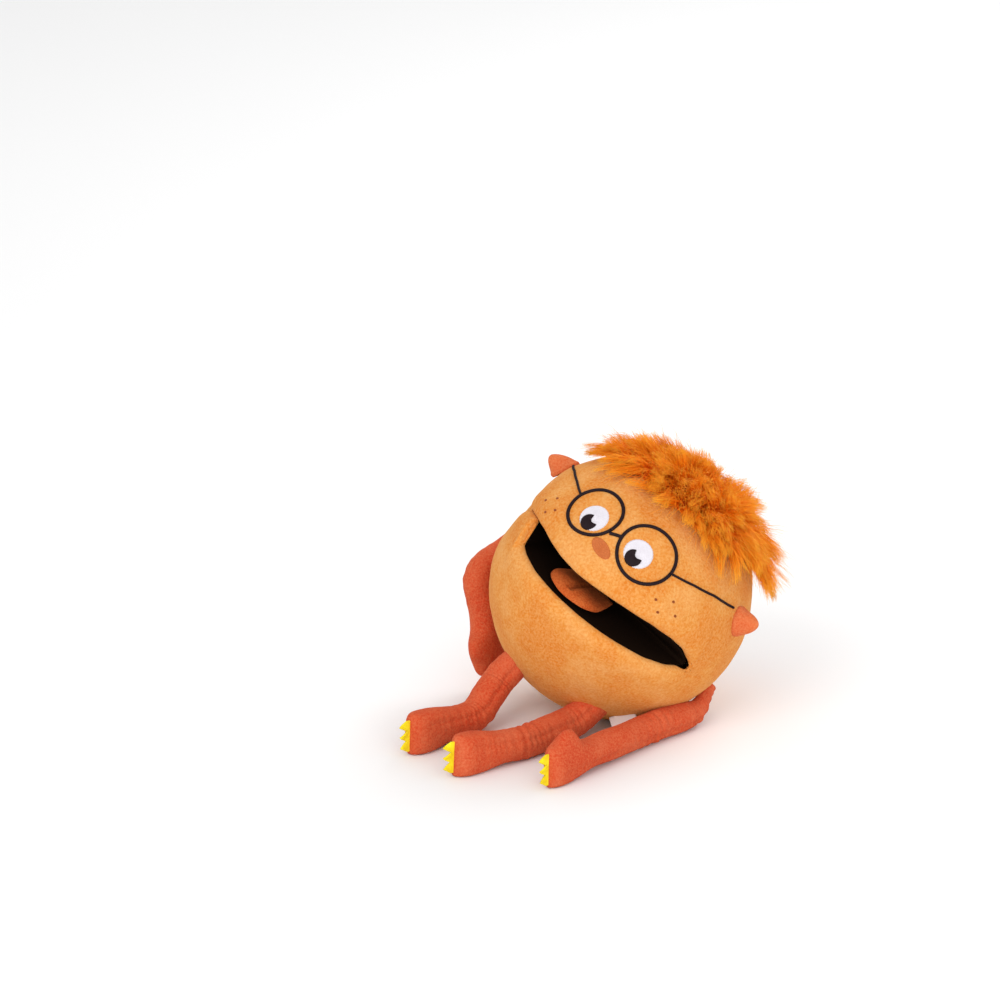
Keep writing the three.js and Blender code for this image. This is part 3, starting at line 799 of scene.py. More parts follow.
FINGER_ROOM = ((-71, 12), (74, 12), (74, 63.5), (-71, 29))
THUMB_ROOM = ((-63, -33), (46, -33), (46, 22), (-1, 22), (-1, -10), (-63, -10))


def prism(outline, half_width):
    """A closed block across the ball from an outline of (y, z) points."""
    count = len(outline)
    points = [(x, y, z) for x in (-half_width, half_width) for y, z in outline]
    faces = [tuple(range(count))[::-1], tuple(range(count, 2 * count))]
    faces += [(i, (i + 1) % count, (i + 1) % count + count, i + count) for i in range(count)]
    block = mesh_object("cutter", to_row(points), faces, FIBRE, False)
    face_outward(block)
    return block


def hollow_out(obj, outline, half_width):
    """Leaves the room that a pocket takes out of a filling."""
    cutter = prism(outline, half_width)
    modifier = obj.modifiers.new("room", "BOOLEAN")
    modifier.operation = "DIFFERENCE"
    modifier.object = cutter
    modifier.solver = "EXACT"
    apply_modifiers(obj)
    bpy.data.objects.remove(cutter)


FILLING_END = 24  # columns at each pole of the ball that hold no fibre
FILLING_START = 12  # the fibre begins this far from the hinge line


def lay_inside(points):
    """Filling points in the row's frame, flat above the skin that the ball rests on."""
    under = (0, 0, SKIN + 1)
    return press_flat(to_row(points) - under, 0.1, 3.9) + under


def build_filling(name, low, high, outline, half_width, body, node):
    """Loose fibre between two hinge angles, from the hinge line out to the skin, round a pocket."""
    columns, around = 70, 26
    kept = slice(FILLING_END, columns - FILLING_END)
    shares = column_shares(columns)[kept]
    low, high = np.broadcast_to(low, columns)[kept], np.broadcast_to(high, columns)[kept]
    loops = []
    for share, start, end in zip(shares, low, high):
        angles = np.linspace(start, end, around)
        outer = arc_points(angles, np.full(around, share))
        outer -= unit(outer) * (SKIN + 2.2)
        x = outer[:, 0]
        turns = np.radians(angles[::-4])
        inner = np.stack([x[::-4], -FILLING_START * np.cos(turns), FILLING_START * np.sin(turns)], -1)
        inner[:, 1] += HINGE_Y
        walls = [outer[-1] + (inner[0] - outer[-1]) * t for t in (0.3, 0.65)]
        ends = [inner[-1] + (outer[0] - inner[-1]) * t for t in (0.35, 0.7)]
        loops.append(np.concatenate([outer, walls, inner, ends]))
    grid = np.array(loops)
    grid *= draw_in(grid)[..., None]
    grid += unit(grid) * (0.9 * lumps(grid, 17, 4.0) - 0.9)[..., None]
    obj = grid_object(name, grid, FIBRE, wrap=True, caps=True, place=lay_inside)
    face_outward(obj)
    hollow_out(obj, outline, half_width)
    remember_rest(obj)
    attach(obj, body)
    describe(obj, "fibre_fill", node, fill=0.9)


def build_fillings():
    shares = column_shares(70)
    upper = lip_columns(UPPER_LIP, shares, LIP_ROLL + 4.5)
    lower = 360 + np.minimum(lip_columns(LOWER_LIP, shares, LIP_ROLL + 4), -LIP_ANGLE - 9)
    build_filling("head_fibre", upper, HEAD_BACK - 4.0, FINGER_ROOM, 39.0, "head", "head_stuffing")
    build_filling("belly_fibre", BELLY_BACK + 3.0, lower, THUMB_ROOM, 18.0, "belly", "belly_stuffing")


TONGUE_START, TONGUE_END, TONGUE_HALF_WIDTH = 15.0, 61.0, 23.0
TONGUE_LIFT = 2.0  # its middle above the lower palate


def build_tongue():
    """A stuffed tongue with a groove sewn down its middle, lying on the lower palate."""
    rings, around = 48, 64
    turn = math.radians(-LIP_ANGLE)
    length = TONGUE_END - TONGUE_START
    rows = []
    for i in range(rings):
        t = 0.5 - 0.5 * math.cos(math.pi * (i + 0.35) / (rings - 0.3))
        out = TONGUE_START + length * t
        tip = max(0.0, (t - 0.55) / 0.45)
        width = TONGUE_HALF_WIDTH * (0.78 + 0.22 * math.sin(math.pi * min(t / 0.7, 1) / 2))
        width *= math.sqrt(max(1 - tip ** 2.3, 0.0004))
        thick = (0.9 + 6.3 * min(t / 0.75, 1)) * math.sqrt(max(1 - tip ** 4, 0.001)) * min(1, 0.35 + t * 6)
        angles = even_turns(around)
        x = width * np.cos(angles)
        groove = 0.55 * np.exp(-(x / 2.0) ** 2) * (1 if t < 0.93 else 0)
        top = np.maximum(np.sin(angles), 0) ** 0.7 * thick * (1 - groove)
        under = np.minimum(np.sin(angles), 0) * min(0.8, thick * 0.3)
        rows.append(np.stack([x, np.full(around, -out), TONGUE_LIFT + top + under], -1))
    grid = np.array(rows)
    grid[..., 2] += 0.3 * lumps(grid, 9)
    y, z = grid[..., 1].copy(), grid[..., 2].copy()
    grid[..., 1] = y * math.cos(turn) - z * math.sin(turn) + HINGE_Y
    grid[..., 2] = z * math.cos(turn) - y * math.sin(turn)
    obj = grid_object("tongue_pad", grid, PLUSH_BROWN, wrap=True, caps=True)
    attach(obj, "tongue")
    describe(obj, "plush_brown", "tongue", fill=0.7)


# ---------------------------------------------------------------- face

def face_frame(azimuth, latitude):
    outward = on_ball(float(azimuth), float(latitude))
    a = math.radians(azimuth)
    east = np.array([math.cos(a), math.sin(a), 0.0])
    return east, np.cross(outward, east), outward


SIDES = (("left", 1), ("right", -1))
RIGHT_SHARE, RIGHT_DROP = 0.87, 2.1
THREAD_PITCH = 0.62


def face_place(sign, azimuth, latitude):
    """Where a place of the face is on the puppet's left (sign 1), or on its right, where the head sags."""
    return (azimuth, latitude) if sign > 0 else (-RIGHT_SHARE * azimuth, latitude - RIGHT_DROP)


def lay_on_skin(azimuth, latitude, across, up, lift):
    """Lays flat offsets from a place on the ball onto its soft skin, in the ball's frame."""
    east, north, outward = face_frame(azimuth, latitude)
    flat = outward * BALL_RADIUS + across[..., None] * east + up[..., None] * north
    return soften(unit(flat) * BALL_RADIUS) + unit(flat) * np.asarray(lift)[..., None]


def patch(name, azimuth, latitude, outline, material, replaced, slot, lift, roll=0.0):
    """A satin-stitch patch. outline(turn) gives its radius; its threads run across, turned by roll."""
    rings, around = 26, 120
    turns = even_turns(around)
    radius = outline(turns)
    jag = 1 + 0.012 * np.sign(np.sin(turns * 57)) + 0.01 * np.sin(turns * 91 + 2)
    rows = []
    for i in range(rings + 1):
        share = i / rings
        size = radius * share ** 0.85 * (jag if share > 0.9 else 1)
        across, up = size * np.cos(turns), size * np.sin(turns)
        line = across * math.sin(roll) + up * math.cos(roll)
        thread = 0.13 * np.sin(2 * math.pi * line / THREAD_PITCH)
        height = lift * (1 - smooth(share, 0.86, 1.0) * 1.3) + thread * (1 - share ** 8)
        rows.append(lay_on_skin(azimuth, latitude, across, up, height + 0 * across))
    obj = grid_object(name, np.array(rows), material, wrap=True)
    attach(obj, "head")
    describe(obj, slot, replaced)


def oval(half_width, half_height, tilt=0.0):
    def outline(turns):
        t = turns - tilt
        return 1 / np.sqrt((np.cos(t) / half_width) ** 2 + (np.sin(t) / half_height) ** 2)
    return outline


GLASSES_AZIMUTH, GLASSES_LATITUDE = 19.5, 33.6
RING_RADIUS = {"left": 22.0, "right": 20.4}
RING_POINTS = 420
THREAD_HEIGHT = 0.1


def stitched_tube(name, centres, radius, replaced, closed):
    """A raised satin-stitch line: threads across it make fine ridges."""
    ridged = radius + THREAD_HEIGHT * np.cos(math.pi * np.arange(len(centres)))
    obj = tube(name, to_row(centres), ridged, STITCH_DARK, 8, closed)
    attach(obj, "head")
    describe(obj, "embroidery_dark", replaced)


def build_glasses():
    for side, sign in SIDES:
        turns = even_turns(RING_POINTS)
        wobble = 1 + (0.006 if sign > 0 else 0.02) * np.sin(2 * turns + 1) + 0.006 * np.sin(3 * turns)
        across = RING_RADIUS[side] * wobble * np.cos(turns)
        up = RING_RADIUS[side] * wobble * np.sin(turns)
        azimuth, latitude = face_place(sign, GLASSES_AZIMUTH, GLASSES_LATITUDE)
        ring = lay_on_skin(azimuth, latitude, across, up, np.full(RING_POINTS, 0.35))
        stitched_tube(f"ring_{side}", ring, 1.3, f"glasses_ring_{side}", True)
        start = GLASSES_AZIMUTH + 15.6 / (1 if sign > 0 else RIGHT_SHARE)
        azimuth = np.linspace(start, 83, 150)
        latitude = np.interp(azimuth, [start, 50, 65, 83], [33.0, 34.2, 34.4, 32.4])
        azimuth, latitude = face_place(sign, azimuth, latitude)
        line = soften(on_ball(azimuth, latitude) * BALL_RADIUS)
        stitched_tube(f"temple_{side}", line + unit(line) * 0.45, 0.9, f"glasses_temple_{side}", False)
    azimuth = np.linspace(-1.6, 4.6, 24)
    line = soften(on_ball(azimuth, np.linspace(29.4, 32.3, 24)) * BALL_RADIUS)
    stitched_tube("bridge", line + unit(line) * 0.35, 1.3, "glasses_bridge", False)


PUPIL_RADIUS = 6.7
GLINT = (2.2, 5.0)  # centre of the white disc that covers a part of the pupil, across and up
GLINT_RADIUS = 3.6


def pupil_outline(turns):
    """A disc with the round glint cut out of its edge."""
    direction = np.stack([np.cos(turns), np.sin(turns)], -1)
    along = direction @ np.array(GLINT)
    inside = along ** 2 - np.dot(GLINT, GLINT) + GLINT_RADIUS ** 2
    bitten = along - np.sqrt(np.maximum(inside, 0))
    return np.where((along > 0) & (inside > 0), np.minimum(PUPIL_RADIUS, bitten), PUPIL_RADIUS)


def build_face():
    for side, sign in SIDES:
        azimuth, latitude = face_place(sign, 16, 31.3)
        patch(f"eye_{side}", azimuth, latitude, oval(11.4, 11.1), STITCH_WHITE, f"eye_white_{side}",
              "embroidery_white", 0.9, roll=math.radians(80))
        azimuth, latitude = face_place(sign, 15.4, 28.4)
        patch(f"pupil_disc_{side}", azimuth, latitude, pupil_outline, STITCH_DARK, f"pupil_{side}",
              "embroidery_dark", 1.7)
    patch("nose", 0.9, 22.2, oval(10, 5.3, -0.2), STITCH_NOSE, "nose_patch",
          "embroidery_orange", 0.7, roll=1.2)
    for side, sign in SIDES:
        for index, place in enumerate(((35.6, 20), (43.6, 23.4), (39.5, 16), (47.7, 18.6))):
            azimuth, latitude = face_place(sign, *place)
            patch(f"dot_{side}_{index + 1}", azimuth, latitude, oval(1.15, 1.0), STITCH_FRECKLE,
                  f"freckle_{side}_{index + 1}", "embroidery_brown", 0.45)
    build_glasses()


EAR_HEIGHT = {"left": 17.0, "right": 13.5}
EAR_LEAN = {"left": 1.5, "right": -4.5}  # how far the tip leans up the ball
EAR_HALF_WIDTH, EAR_HALF_DEPTH = 10.4, 8.2


def build_ears():
    """Pointed ears of two cloths, with the seam round their rim."""
    rings, around = 34, 64
    for side, sign in SIDES:
        east, north, outward = face_frame(*face_place(sign, 91, 26.7))
        turns = even_turns(around)
        rim = np.exp(-(np.cos(turns) / 0.16) ** 2)
        rows = []
        for t in np.linspace(0, 1, rings):
            taper = (1 - t ** 1.7) ** 0.62 + 0.02
            base = 1 + 0.10 * math.exp(-((t - 0.14) / 0.12) ** 2)
            wide = EAR_HALF_WIDTH * taper * base
            deep = EAR_HALF_DEPTH * taper ** 0.9 * base
            lean = (north * EAR_LEAN[side] - east * 2.5 * sign) * t ** 1.5
            centre = outward * (BALL_RADIUS - 2 + (EAR_HEIGHT[side] + 2) * t) + lean
            across = (deep * np.cos(turns))[:, None] * east
            up = ((wide - 0.7 * rim) * np.sin(turns))[:, None] * north
            rows.append(centre + across + up)
        grid = np.array(rows)
        centres = grid.mean(1, keepdims=True)
        swell = (0.5 * lumps(grid, 7, 3.0))[..., None]
        grid += unit(grid - centres) * swell * np.linspace(1, 0, rings)[:, None, None]
        obj = grid_object(f"ear_pad_{side}", grid, PLUSH_EAR, wrap=True, caps=True)
        face_outward(obj)
        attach(obj, "head")
        describe(obj, "plush_orange_red", f"ear_{side}", fill=0.8)


# ---------------------------------------------------------------- hair

# the hairline: how far up the ball it runs, by azimuth
HAIRLINE = ((-180, 40), (-140, 42), (-110, 44), (-85, 47), (-60, 54), (-40, 58), (-10, 61),
            (15, 62), (32, 60), (50, 59), (75, 58), (100, 55), (140, 46), (180, 40))
STRANDS = 32000
CLUMPS = 520
STRAND_STEPS = 6
STRAND_RADIUS = 0.25
HAIR_SAG = 2.0  # how far the strands' ends hang down
BACK_PRESS = 7.0  # how far they are pressed in at the back
LOOSE = 0.3  # share of the strands that belong to no lock
WILD = 0.07  # share of the strands that stand up from the rest
LOCK_PULL, LOOSE_PULL = 0.72, 0.15  # how far a strand's end is drawn to the middle of its lock
THIRD_TURN = 2.0944


def hair_depth(direction):
    """How far a place on the ball lies behind the hairline, in millimetres; negative is bald."""
    point = direction * BALL_RADIUS
    azimuth = np.degrees(np.arctan2(direction[:, 0], -direction[:, 1]))
    latitude = np.degrees(np.arcsin(np.clip(direction[:, 2], -1, 1)))
    edge = np.interp(azimuth, *zip(*HAIRLINE))
    above = np.radians(latitude - edge) * BALL_RADIUS
    before_back = (HEAD_BACK - hinge_angle(point)) * 1.9
    return np.minimum(above + 2.5 * lumps(point, 13, 12.0), before_back)


def scatter_roots(rng, count):
    roots = unit(rng.normal(size=(count * 6, 3)))
    return roots[hair_depth(roots) > 0][:count]


CROWN = unit(np.array([0.0, 0.1, 1.0]))  # where the pile parts


def combed(direction, rng, spread):
    """Tangents that run from the crown down over the ball, with some disorder."""
    down = unit(direction * (direction @ CROWN)[:, None] - CROWN)
    side = np.cross(direction, down)
    waves = 1.1 * lumps(direction * BALL_RADIUS, 22, 9.0)
    swing = rng.normal(0, spread, len(direction)) * (1 + 3 * (direction @ CROWN > 0.93)) + waves
    return unit(down * np.cos(swing)[:, None] + side * np.sin(swing)[:, None])


def strand_path(roots, tangent, length, lift, bow, steps):
    """Points along each strand, which leaves the skin at an angle and lies down along it."""
    u = np.linspace(0, 1, steps)[None, :, None]
    turn = (length[:, None, None] * np.cos(lift)[:, None, None] * u) / BALL_RADIUS
    direction = roots[:, None, :] * np.cos(turn) + tangent[:, None, :] * np.sin(turn)
    height = length[:, None, None] * np.sin(lift)[:, None, None] * (u - bow[:, None, None] * u * u)
    return direction * (BALL_RADIUS + 1.0 + height)


BACKWARD = from_row(BALL_CENTRE + (0, 1, 0))  # the row's +Y, where the puppet lies against things


def build_hair():
    """Long pile: locks of strands that stand up and bow over, with loose strands between them."""
    rng = np.random.default_rng(11)
    centres = scatter_roots(rng, CLUMPS)
    clump_tangent = combed(centres, rng, 0.42)
    leftward = smooth(centres[:, 0], -0.1, 0.7)
    clump_length = rng.uniform(22, 34, len(centres)) * (1 + 0.34 * leftward)
    raised = 20 * smooth(centres @ CROWN, 0.85, 0.97)
    clump_lift = np.radians(rng.uniform(16, 58, len(centres)) + raised + 9 * leftward)
    clump_bow = rng.uniform(0.1, 0.5, len(centres))
    spine = strand_path(centres, clump_tangent, clump_length, clump_lift, clump_bow, STRAND_STEPS)
    roots = scatter_roots(rng, STRANDS)
    nearest = np.empty(len(roots), int)
    for start in range(0, len(roots), 2000):
        part = roots[start:start + 2000]
        nearest[start:start + 2000] = np.argmax(part @ centres.T, axis=1)
    edge = smooth(hair_depth(roots), 0, 7)
    loose = rng.uniform(0, 1, len(roots)) < LOOSE
    length = clump_length[nearest] * rng.uniform(0.6, 1.1, len(roots)) * (0.8 + 0.2 * edge)
    lift = clump_lift[nearest] * rng.uniform(0.7, 1.35, len(roots)) * (0.7 + 0.3 * edge)
    wild = rng.uniform(0, 1, len(roots)) < WILD
    lift = np.where(wild, np.radians(rng.uniform(45, 80, len(roots))), lift)
    length = np.where(wild, length * 1.12, length)
    loose = loose | wild
    stray = np.where(loose, 0.45, 0.15)[:, None]
    tangent = unit(clump_tangent[nearest] + rng.normal(0, 1, (len(roots), 3)) * stray)
    tangent = unit(tangent - roots * np.sum(roots * tangent, 1, keepdims=True))
    path = strand_path(roots, tangent, length, lift, clump_bow[nearest], STRAND_STEPS)
    u = np.linspace(0, 1, STRAND_STEPS)[None, :, None]
    pull = np.where(loose, LOOSE_PULL, LOCK_PULL)[:, None, None] * u ** 1.2
    path = path * (1 - pull) + (spine[nearest] + rng.normal(0, 0.6, (len(roots), 1, 3))) * pull
    curl = np.sin(u * 5 + rng.uniform(0, 6.28, (len(roots), 1, 1))) * u * 0.9
    path = path + curl * rng.normal(0, 1, (len(roots), 1, 3))
    path = path + from_row(BALL_CENTRE - (0, 0, HAIR_SAG)) * u ** 2
    behind = smooth(path @ BACKWARD, 62, 96)[..., None]
    path = path - BACKWARD * behind * BACK_PRESS * u
    write_strands(path, rng, clump_tone(rng, nearest, len(centres)))


def clump_tone(rng, nearest, clumps):
    return np.clip(rng.uniform(0, 1, clumps)[nearest] * 0.7 + rng.uniform(0, 0.3, len(nearest)), 0, 1)


def write_strands(path, rng, tone):
    """Tapered three-sided strands, in four pieces by where they grow."""
    count, steps = path.shape[:2]
    ahead = unit(np.gradient(path, axis=1))
    outward = unit(path)
    side = unit(np.cross(ahead, outward))
    outward = np.cross(side, ahead)
    width = STRAND_RADIUS * (1 - 0.78 * np.linspace(0, 1, steps) ** 1.5)[None, :, None]
    twist = rng.uniform(0, 2 * math.pi, (count, 1, 1))
    turns = [twist + k * THIRD_TURN for k in range(3)]
    grid = np.stack([path + width * (side * np.cos(t) + outward * np.sin(t) * 0.8) for t in turns], 2)
    quarter = (path[:, 0, 0] > 0).astype(int) + 2 * (path[:, 0, 1] > 8).astype(int)
    names = ("fur_front_right", "fur_front_left", "fur_back_right", "fur_back_left")
    for index, name in enumerate(names):
        chosen = grid[quarter == index]
        number = len(chosen)
        faces = []
        for s in range(number):
            base = s * steps * 3
            faces += grid_faces(steps, 3, wrap=True, start=base)
            faces += [(base + 2, base + 1, base), tuple(base + (steps - 1) * 3 + k for k in range(3))]
        obj = mesh_object(name, to_row(chosen.reshape(-1, 3)), faces, FUR)
        set_values(obj, "along", np.tile(np.repeat(np.linspace(0, 1, steps), 3), number))
        set_values(obj, "tone", np.repeat(tone[quarter == index], steps * 3))
        follow_mouth(obj)
        if index == 0:
            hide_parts("hair_patch")


def build_fur_backing():
    """The backing that the fur grows from, seen only between the strands."""
    rows, columns = 90, 180
    latitude = np.linspace(89.5, 24, rows)[:, None]
    azimuth = np.linspace(-180, 180, columns, endpoint=False)[None, :]
    direction = on_ball(azimuth + 0 * latitude, latitude + 0 * azimuth)
    inside = hair_depth(direction.reshape(-1, 3)).reshape(rows, columns)
    lift = np.where(inside > 0, 1.6 * smooth(inside, 0, 5), 0.2)
    points = soften(direction * BALL_RADIUS) + direction * lift[..., None]
    keep = inside > -0.5
    faces = [f for f in grid_faces(rows, columns, wrap=True) if all(keep.reshape(-1)[v] for v in f)]
    used = sorted({v for f in faces for v in f})
    number = {v: i for i, v in enumerate(used)}
    faces = [tuple(number[v] for v in f) for f in faces]
    obj = mesh_object("fur_base", to_row(points.reshape(-1, 3)[used]), faces, FUR_BACKING)
    thicken(obj, 0.8)
    follow_mouth(obj)


# ---------------------------------------------------------------- limbs

# for each limb: radius, thumb, lower body and turn of its lengthwise seam,
# then where it leaves the ball, its root, its bend and its tip
LIMBS = {
    "arm_left": (11.0, True, "forearm_left", 1.9,
                 ((67, 10, 23), (66, -10, 11), (52, -52, 10.5), (30, -155, 14))),
    "arm_right": (11.5, True, "forearm_right", 2.6,
                  ((-74, 38, 116), (-90, 40, 108), (-110, -8, 84), (-98, -18, 28))),
    "leg_left": (12.0, False, "foot_left", 1.1,
                 ((12, -52, 24), (-1, -74, 13), (-14, -119, 11.3), (-36, -166, 14.3))),
    "leg_right": (12.0, False, "foot_right", 1.1,
                  ((-47, -54, 52), (-62, -66, 34), (-70, -96, 12.5), (-85, -143, 14.3))),
}
RING_SIDES = 48
RING_STEP = 1.1
UPWARD, FORWARD = np.array([0, 0, 1.0]), np.array([0, -1.0, 0.2])


def spline(knots, step):
    """Catmull-Rom through knots, resampled evenly. Returns points and the run of each knot."""
    knots = [np.array(k, float) for k in knots]
    padded_knots = [2 * knots[0] - knots[1]] + knots + [2 * knots[-1] - knots[-2]]
    fine, marks = [], []
    for a, b, c, d in zip(padded_knots, padded_knots[1:], padded_knots[2:], padded_knots[3:]):
        marks.append(len(fine))
        for t in np.linspace(0, 1, 40, endpoint=False):
            fine.append(0.5 * (2 * b + (c - a) * t + (2 * a - 5 * b + 4 * c - d) * t * t
                               + (3 * b - a - 3 * c + d) * t ** 3))
    marks.append(len(fine))
    fine.append(knots[-1])
    fine = np.array(fine)
    run = np.concatenate([[0], np.cumsum(np.linalg.norm(np.diff(fine, axis=0), axis=1))])
    count = max(int(run[-1] / step), 8)
    even = np.linspace(0, run[-1], count)
    points = np.stack([np.interp(even, run, fine[:, k]) for k in range(3)], -1)
    return points, even, [run[m] for m in marks]


def limb_frames(points):
    """Across and through directions on each ring: through is level, across points up or to the front."""
    along = unit(np.gradient(points, axis=0))
    steep = smooth(np.abs(along[:, 2]), 0.55, 0.9)[:, None]
    reference = unit(UPWARD * (1 - steep) + FORWARD * steep)
    through = unit(np.cross(reference, along))
    across = np.cross(along, through)
    return along, across, through


SEAM_DEPTH = 1.5
OVERLAP = 9.0  # how far a cuff reaches inside the tube that goes on from it


def limb_widths(run, radius, thumb):
    """The half height and half thickness of a limb along its run."""
    left = run[-1] - run
    grow = smooth(run, 0, 46 if thumb else 24)
    paw = smooth(left, 48, 14)
    slim = 0.45 if thumb else 0.85
    width = radius * (slim + (1 - slim) * grow) + (4.6 if thumb else 4.0) * paw
    thick = radius * (slim - 0.05 + (1.03 - slim) * grow) - (1.6 if thumb else 0.4) * paw
    closing = np.clip(left / (radius + 2), 0, 1)
    thick = thick * np.sqrt(np.clip(1 - (1 - closing) ** 2.2, 0.006, 1))
    rounding = np.sqrt(np.clip(1 - (1 - np.clip(left / 5, 0, 1)) ** 2, 0, 1))
    return width * (0.80 + 0.20 * rounding), thick, paw


def build_limb(name, radius, thumb, lower_body, line, places):
    """A plush tube sewn along its length, in two pieces: a cuff over the root and the rest over the bend."""
    anchor, root, joint, tip = np.array(places, float)
    end = tip + unit(tip - joint) * (radius + 3)
    knots = [anchor, root, (root + joint) / 2, joint, (joint + tip) / 2, tip, end]
    points, run, marks = spline(knots, RING_STEP)
    along, across, through = limb_frames(points)
    left = run[-1] - run
    width, thick, paw = limb_widths(run, radius, thumb)
    turns = even_turns(RING_SIDES)
    crease_at = joint_wrinkles(run, marks[3], marks[1])
    gathers = np.sin(run * 1.05 + 2.5 * np.sin(run * 0.17) + line)
    grid = np.empty((len(points), RING_SIDES, 3))
    for j, turn in enumerate(turns):
        c, s = math.cos(turn), math.sin(turn)
        off_seam = math.remainder(turn - line, 2 * math.pi)
        near_seam = math.exp(-(off_seam / 0.13) ** 2)
        by_seam = math.exp(-(off_seam / 0.6) ** 2)
        squared = (abs(c) ** 2.6 + abs(s) ** 2.6) ** (-1 / 2.6)
        shape = 1 + (squared - 1) * paw
        puckers = by_seam * (0.35 + 0.9 * crease_at) * 0.75 * gathers * smooth(left, 10, 26)
        inward = -SEAM_DEPTH * near_seam * smooth(left, 6, 16) * smooth(run, 0, 12)
        bump = thumb_bump(left, turn) if thumb else 0
        ring = points + across * ((width * shape + puckers + inward) * c + bump)[:, None]
        grid[:, j] = ring + through * ((thick * shape + puckers + inward) * s)[:, None]
    crease = crease_at[:, None] * (0.85 * np.sin(run * 0.8)[:, None] * (0.5 + lumps(grid, 12, 8.0))
                                   + 0.9 * lumps(grid, 6, 2.0))
    body = 0.8 * lumps(grid, 22, 5.0)
    grid += unit(grid - points[:, None, :]) * ((crease + body) * smooth(left, 2, 10)[:, None])[..., None]
    grid = above_floor(grid)
    split = int(np.searchsorted(run, marks[1] + 8))
    inside = split + int(OVERLAP / RING_STEP)
    build_cuff(name, grid[:inside].copy(), points, split, run, marks[1] + 4, name)
    main = close_tube(f"{name}_tube", grid[split:])
    share = smooth(np.repeat(run[split:], RING_SIDES), marks[3] - 13, marks[3] + 13)
    bend_by(main, name, lower_body, with_caps(share))
    describe(main, "plush_orange_red", f"{name}_upper", f"{name}_lower", fill=0.75)
    build_claws(name, points, across, through, along, lower_body)


def build_cuff(name, grid, points, split, run, swing_end, body):
    """The stretch of a limb from the ball's seam over its root. It narrows where it lies inside the rest."""
    shrink = np.clip((np.arange(len(grid)) - split + 1) / (len(grid) - split), 0, 1) ** 0.5
    centre = points[:len(grid), None, :]
    grid = centre + (grid - centre) * (1 - 0.12 * shrink - 0.01 * (shrink > 0))[:, None, None]
    cuff = close_tube(f"{name}_cuff", grid)
    share = smooth(np.repeat(run[:len(grid)], RING_SIDES), 2, swing_end)
    bend_by(cuff, "belly", body, with_caps(share))
    describe(cuff, "plush_orange_red", fill=0.7)


def with_caps(share):
    """The two cap centres follow their rings."""
    return np.concatenate([share, [share[0], share[-1]]])


def above_floor(points):
    return press_flat(points, 0.25, 1.2)


def joint_wrinkles(run, joint_run, root_run):
    """Where a limb creases: at its bend, and a little where it is gathered at the root."""
    return np.exp(-((run - joint_run) / 16) ** 2) * 0.75 + 0.35 * np.exp(-((run - root_run) / 10) ** 2)


def thumb_bump(left, turn):
    """A rounded thumb on the upper edge of a paw, steeper towards the arm."""
    side = math.exp(-(math.remainder(turn, 2 * math.pi) / 0.85) ** 2)
    reach = np.where(left > 23, 7.5, 12.0)
    return 9.0 * np.exp(-np.abs((left - 23) / reach) ** 2.6) * side


def close_tube(name, grid):
    count, sides = grid.shape[:2]
    points = list(grid.reshape(-1, 3)) + [grid[0].mean(0), grid[-1].mean(0)]
    faces = grid_faces(count, sides, wrap=True)
    first, last = count * sides, count * sides + 1
    for j in range(sides):
        k = (j + 1) % sides
        faces.append((first, k, j))
        faces.append((last, (count - 1) * sides + j, (count - 1) * sides + k))
    return mesh_object(name, points, faces, PLUSH_RED)


CLAW_WIDTH, CLAW_BAND, CLAW_LENGTH, FELT = 23.0, 2.5, 9.0, 1.5
CLAW_ROOT = 2.5  # how far the felt reaches into the seam


def build_claws(name, points, across, through, along, body):
    """A zigzag of felt with three points, sewn into the end seam."""
    centre, up, on, side = points[-1], across[-1], along[-1], through[-1]
    columns, rows = 97, 13
    grid = []
    for i in range(columns):
        x = -CLAW_WIDTH / 2 + CLAW_WIDTH * i / (columns - 1)
        phase = (x + CLAW_WIDTH / 2) / (CLAW_WIDTH / 3) % 1
        peak = 1 - abs(2 * phase - 1) if i < columns - 1 else 0
        reach = CLAW_BAND + (CLAW_LENGTH - CLAW_BAND) * peak
        bend = 0.9 * math.sin(x * 0.5)
        for j in range(rows):
            t = j / (rows - 1)
            y = -CLAW_ROOT + (reach + CLAW_ROOT) * t
            flutter = bend * smooth(y, 0, CLAW_LENGTH) * 1.3
            grid.append(centre + up * x + on * y + side * float(flutter))
    grid = np.array(grid).reshape(columns, rows, 3)
    obj = grid_object(f"{name}_zigzag", grid, FELT_YELLOW, place=above_floor)
    thicken(obj, FELT, 0.0)
    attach(obj, body)
    describe(obj, "felt_yellow", f"{name}_claws")


# ---------------------------------------------------------------- label

LABEL_SEAM = (25, -48, 14.5)  # on the ball, where the label is sewn in
LABEL_WIDTH, LABEL_LENGTH = 19.2, 13.0
LABEL_WIDTH_LINE = (0.8, 0.4, 0.38)
LABEL_FALL = (-0.05, -0.6, -0.6)


def build_label():
    """A blank folded woven loop, sewn into the belly."""
    start = np.array(LABEL_SEAM, float)
    across, outward = unit(np.array(LABEL_WIDTH_LINE)), np.array(LABEL_FALL)
    outward = unit(outward - across * (outward @ across))
    side = np.cross(outward, across)
    columns, rows = 22, 41
    grid = []
    for i in range(columns):
        x = -LABEL_WIDTH / 2 + LABEL_WIDTH * i / (columns - 1)
        for j in range(rows):
            t = 2 * j / (rows - 1) - 1
            out = LABEL_LENGTH * (1 - abs(t) ** 1.6)
            gap = 0.9 * t * (1 + 0.3 * math.sin(x * 0.3))
            wave = 0.8 * math.sin(x * 0.35) * out / LABEL_LENGTH
            grid.append(start + across * x + outward * out + side * (gap + wave))
    grid = np.array(grid).reshape(columns, rows, 3)
    obj = grid_object("blank_label", grid, LABEL, place=above_floor)
    thicken(obj, 0.25, 0.0)
    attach(obj, "belly")
    describe(obj, "label_white", "care_label")


# ---------------------------------------------------------------- carried-over CAD nodes

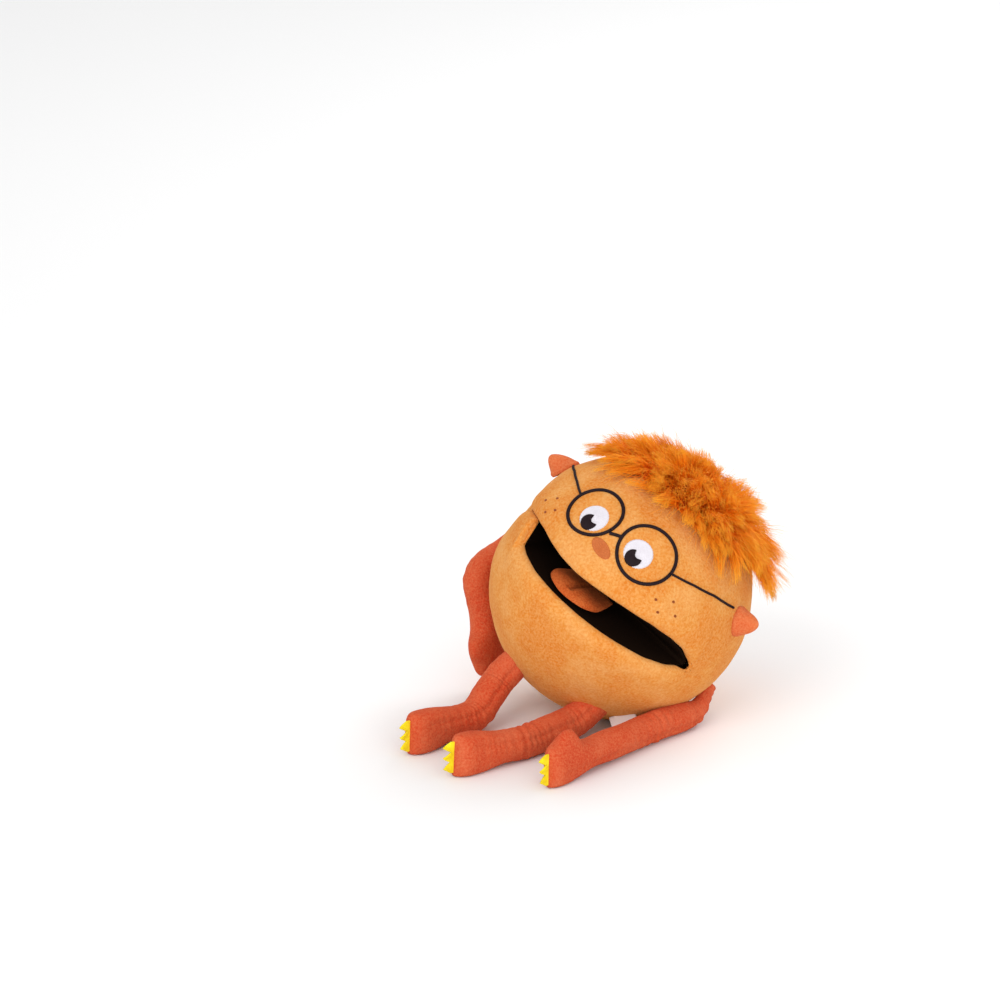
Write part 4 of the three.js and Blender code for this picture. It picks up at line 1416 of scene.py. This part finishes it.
def dress_cad_nodes():
    for node in ("finger_pocket", "thumb_pocket"):
        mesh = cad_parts[node].data
        mesh.materials.clear()
        mesh.materials.append(LINING_CAD)


# ---------------------------------------------------------------- stage

CAMERA_AZIMUTH, CAMERA_ELEVATION = 27.3, 20.0
CAMERA_DISTANCE = 6.0
PICTURE_WIDTH = 0.72  # metres across the picture at the ball
TARGET_LEFT, TARGET_UP = 0.087, 0.0635  # metres from the ball's centre to the middle of the picture
SENSOR = 36  # millimetres


def aim_at(obj, place, target):
    obj.location = place
    obj.rotation_mode = "QUATERNION"
    obj.rotation_quaternion = (Vector(target) - obj.location).to_track_quat("-Z", "Y")


def build_camera():
    a, e = math.radians(CAMERA_AZIMUTH), math.radians(CAMERA_ELEVATION)
    back = Vector((math.sin(a) * math.cos(e), -math.cos(a) * math.cos(e), math.sin(e)))
    right = Vector((math.cos(a), math.sin(a), 0))
    up = back.cross(right)
    centre = Vector(BALL_CENTRE) * MM
    target = centre - right * TARGET_LEFT + up * TARGET_UP
    data = bpy.data.cameras.new("camera")
    data.sensor_width = SENSOR
    data.lens = SENSOR * CAMERA_DISTANCE / PICTURE_WIDTH
    camera = add_object("camera", data)
    aim_at(camera, target + back * CAMERA_DISTANCE, target)
    bpy.context.scene.camera = camera


def area_light(name, place, aim, size, power):
    data = bpy.data.lights.new(name, "AREA")
    data.shape = "DISK"
    data.size = size
    data.energy = power
    aim_at(add_object(name, data), place, aim)


def build_stage():
    far = 4000
    corners = [(-far, -far, 0), (far, -far, 0), (far, far, 0), (-far, far, 0)]
    floor = mesh_object("floor", corners, [(0, 1, 2, 3)], Nodes("floor", 0.85).finish((238, 238, 238)))
    area_light("key", (-0.2, -2.0, 1.7), (0, 0, 0.08), 1.8, 22.5)
    area_light("fill", (1.5, -1.7, 0.5), (0, 0, 0.08), 1.6, 19.5)
    area_light("rim", (0.3, 1.6, 1.3), (0, 0, 0.1), 1.2, 16)
    world = bpy.data.worlds.new("studio")
    world.use_nodes = True
    background = world.node_tree.nodes["Background"]
    background.inputs["Color"].default_value = (1.0, 1.0, 1.0, 1)
    background.inputs["Strength"].default_value = 0.82
    bpy.context.scene.world = world
    bpy.context.scene.view_settings.view_transform = "Standard"


build_camera()
build_stage()
build_skin()
build_back()
build_binding()
build_cavity()
build_lining()
build_palate("upper_sheet", UPPER_LIP, "head", "upper_palate")
build_palate("lower_sheet", LOWER_LIP, "belly", "lower_palate")
build_fillings()
build_tongue()
build_corner_tuck()
build_face()
build_ears()
build_fur_backing()
build_hair()
for limb_name, limb in LIMBS.items():
    build_limb(limb_name, *limb)
build_label()
dress_cad_nodes()
